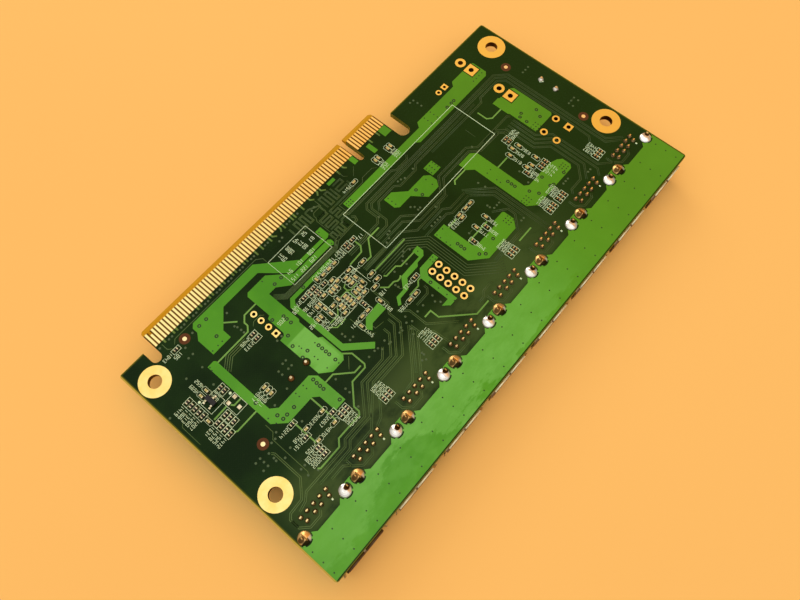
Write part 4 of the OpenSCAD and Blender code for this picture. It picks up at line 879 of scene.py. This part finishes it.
def ring_path(box, gap=0):
    """A closed path round a box, a gap away from it."""
    a, b, c, d = box + np.array([-gap, -gap, gap, gap])
    return [(a, b), (c, b), (c, d), (a, d), (a, b)]


frames = [
    ring_path((66.5, 43, 111.6, 57.9)), ring_path((44, 53.8, 57.7, 63.2)),
    [(56.9, 40), (56.9, 46.8), (44.9, 46.8), (44.9, 38.4), (50, 38.4)],
    ring_path((8, 46.1, 12.3, 49.7)), ring_path((11.6, 41.5, 15.1, 45.8)),
]
lines = [strip(p, WIDE_LINE if k == 0 else FRAME_LINE, PRINT) for k, p in enumerate(frames)]
lines += [strip(p, SQUARE_LINE if len(p) == len(SQUARE) else PILL_LINE, PRINT) for p in boxed]
marks = [strip([(c + 3.4, 11.7), (c + 3.4, 12.2)], 0.42, PRINT) for c in centres]
spots = [turned([(8.1, 50.3), (14.3, 46.4)], [(0.36, 0), (0.34, PRINT), (0.001, PRINT)], TOP)]
spots += [turned([(134.4, 44)], [(0.85, 0), (0.8, PRINT), (0.001, PRINT)], TOP, 4)]
SW, SE, W, E, NW, NE = (0, 0), (1, 0), (0, 1), (1, 1), (0, 2), (1, 2)
STROKES = {
    "0": [[SW, SE, NE, NW, SW]],
    "1": [[(0.5, 0), (0.5, 2)]],
    "2": [[NW, NE, E, W, SW, SE]],
    "3": [[NW, NE, SE, SW], [(0.2, 1), E]],
    "4": [[NW, W, E], [NE, SE]],
    "5": [[NE, NW, W, E, SE, SW]],
    "6": [[NE, NW, SW, SE, E, W]],
    "7": [[NW, NE, (0.4, 0)]],
    "8": [[SW, SE, NE, NW, SW], [W, E]],
    "9": [[E, W, NW, NE, SE, SW]],
}
CELL_X, CELL_Y = 0.47, 0.5  # a grid step as a share of the number's height
ADVANCE = 1.75  # grid steps from one digit to the next
PEN, PEN_HEIGHT = 0.1, 0.8  # a stroke's width in a number of that height


def number(value, at, height, turn=180):
    """The strokes of a number, centred on a point and turned by degrees."""
    text, a = str(value), np.radians(turn)
    spin = np.array([[np.cos(a), np.sin(a)], [-np.sin(a), np.cos(a)]])
    cell = [CELL_X * height, CELL_Y * height]
    paths = []
    for k, digit in enumerate(text):
        shift = np.array([ADVANCE * (k - (len(text) - 1) / 2) - 0.5, -1])
        paths += [(np.array(s, float) + shift) * cell @ spin + at for s in STROKES[digit]]
    return [strip(p, PEN * height / PEN_HEIGHT, PRINT) for p in paths]


corner = (middle[:, 0] < 12) & (middle[:, 1] > 50)
above = np.where(middle[:, 1] < 19.5, 2.6, -2.5) + np.where(corner, 5.0, 0)
aside = np.where(middle[:, 0] > 100, 2.7, -2.7)
places = middle + np.where(lengthwise[:, None], np.c_[aside, 0 * aside], np.c_[0 * above, above])
free = np.linalg.norm(places[:, None] - middle[None], axis=2).min(1) > 1.5
listed = [
    (47.4, 62), (50.2, 62), (53, 62.1), (55.8, 61.9), (47.4, 60.8), (50, 60.8), (53.4, 60.7),
    (53.4, 59.2), (56, 59.4), (45.8, 57.2), (49.2, 57.1), (53.4, 57), (45.6, 55.2), (48.8, 55.1),
    (52.2, 55.2), (41.4, 47.2), (41.2, 45.6), (52.4, 51.4), (50.2, 51.3), (54.6, 51.4),
    (64.4, 50.4), (56.8, 35.8), (12.6, 62.4), (39.2, 43), (39.4, 48.8), (34.8, 49.6),
]
# The numbers are made up, in steps that vary their digits.
labels = [line for k in np.flatnonzero(free)
          for line in number(1207 + 53 * k, places[k], 0.85, 180 if lengthwise[k] else 90)]
labels += [line for k, place in enumerate(listed) for line in number(31 + 7 * k, place, 0.95)]
piece("white_print_lines", lines + marks + spots, "white_print")
piece("white_print_numbers", labels, "white_print")

# %% [markdown]
# ## The part side
# The hidden face of such a card carries the same kind of work: pairs from each socket to the
# switch chip and on to the contacts, via covers, and a printed box round each large part. Its
# strips face down. They are worked out from the places of the sockets and the chip, not copied
# from anywhere.

# %% Tracks, vias and print underneath
def spread(name):
    """A solid's left, front, right and back in board millimetres."""
    low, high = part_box(name)
    return np.array([low.x, low.y, high.x, high.y]) / MM - [LEFT, EDGE, LEFT, EDGE]


def bent(start, lane, goal, cut):
    """Along y to a lane, along the lane, and on along y, with the corners cut at 45 degrees."""
    (x0, y0), (x1, y1) = start, goal
    turn = cut * np.sign(x1 - x0)
    return [(x0, y0), (x0, lane - cut), (x0 + turn, lane), (x1 - turn, lane), (x1, lane + cut),
            (x1, y1)]


chip = spread("switch_substrate")
below = []
for k, start in enumerate(centres):
    goal = chip[0] + (chip[2] - chip[0]) * (k + 0.5) / COUNT
    path = bent((start, 16), 19.6 + 0.9 * abs(k - 3.5), (goal, chip[1]), 0.6)
    below += [strip(p, 0.2, TRACK, UNDER, -1) for p in side_by_side(path, 2, 0.5)]
LANES = 16
for k in range(LANES):
    start, goal = chip[0] + (chip[2] - chip[0]) * (k + 0.5) / LANES, 14.5 + 4 * k
    path = bent((start, chip[3]), chip[3] + 1.2 + 0.55 * abs(k - 7.5), (goal, 67.6), 0.4)
    below += [strip(p, 0.16, TRACK, UNDER, -1) for p in side_by_side(path, 2, PAIR_PITCH)]
piece("part_side_tracks", below, "mask_over_fine_track")
clear = vias[vias[:, 1] > 20]  # behind the sockets
piece("part_side_vias", [turned(clear, BUTTON, UNDER, facing=-1)], "mask_over_via")
framed = ("switch_substrate", "crystal_can", "capacitor_can_1", "capacitor_can_2")
piece("part_side_print",
      [strip(ring_path(spread(n), 0.7), 0.18, TRACK, UNDER, -1) for n in framed], "white_print")

# %% [markdown]
# ## Floor and light
# The card was photographed on plain peach paper in soft daylight. A measured sky would bring its
# own picture, so three plain sources stand in: a soft lamp low behind the card, a weak one above
# it, and a wide sky. The sky is dim at the horizon and warm towards the right, and the metals
# mirror that.

# %% Floor, lamps and sky
paper = Paint("peach_paper", ior=1.4)
fibre, tone = paper.noise(0.9, 4), paper.noise(0.004, 2)
paper.wear(base_color=paper.mix(tone.ramp(0.3, 0.7), ink(252, 198, 110), ink(254, 201, 113)),
           roughness=0.85 + fibre * 0.1, normal=paper.bump(fibre, 0.01))
floor_mesh = bpy.data.meshes.new("floor")
floor_mesh.from_pydata([(-2, -2, 0), (2, -2, 0), (2, 2, 0), (-2, 2, 0)], [], [(0, 1, 2, 3)])
floor_mesh.materials.append(paper.material)
floor = bpy.data.objects.new("floor", floor_mesh)
bpy.context.scene.collection.objects.link(floor)


def lamp(name, place, size, watts, tint):
    """A soft rectangular lamp that looks at the card."""
    data = bpy.data.lights.new(name, "AREA")
    data.shape, data.size, data.size_y, data.energy, data.color = "RECTANGLE", *size, watts, tint
    made = bpy.data.objects.new(name, data)
    made.location = place
    made.rotation_euler = (-made.location).to_track_quat("-Z", "Y").to_euler()
    bpy.context.scene.collection.objects.link(made)


lamp("window", (0.36, 0.78, 0.45), (0.5, 0.4), 2.0, (1.0, 0.95, 0.86))
lamp("ceiling", (-0.02, 0.03, 0.6), (0.28, 0.09), 0.1, (1.0, 0.98, 0.95))
sky = Paint("sky", sky=True, strength=1.19)
direction = sky.add("ShaderNodeTexCoord", out="Generated")
away, tall = (sky.add("ShaderNodeSeparateXYZ", inputs={0: direction}, out=k) for k in (0, 2))
PALE, WARM, HORIZON = (1.0, 0.985, 0.96, 1), (0.98, 0.47, 0.13, 1), (0.28, 0.25, 0.22, 1)
glow = sky.mix(away.ramp(0.0, 0.52), PALE, WARM)
sky.wear(color=sky.mix(tall.ramp(0.2, 0.9), HORIZON, glow))
bpy.context.scene.world = sky.material
bpy.context.scene.view_settings.view_transform = "Standard"
print("floor, two lamps and a sky")
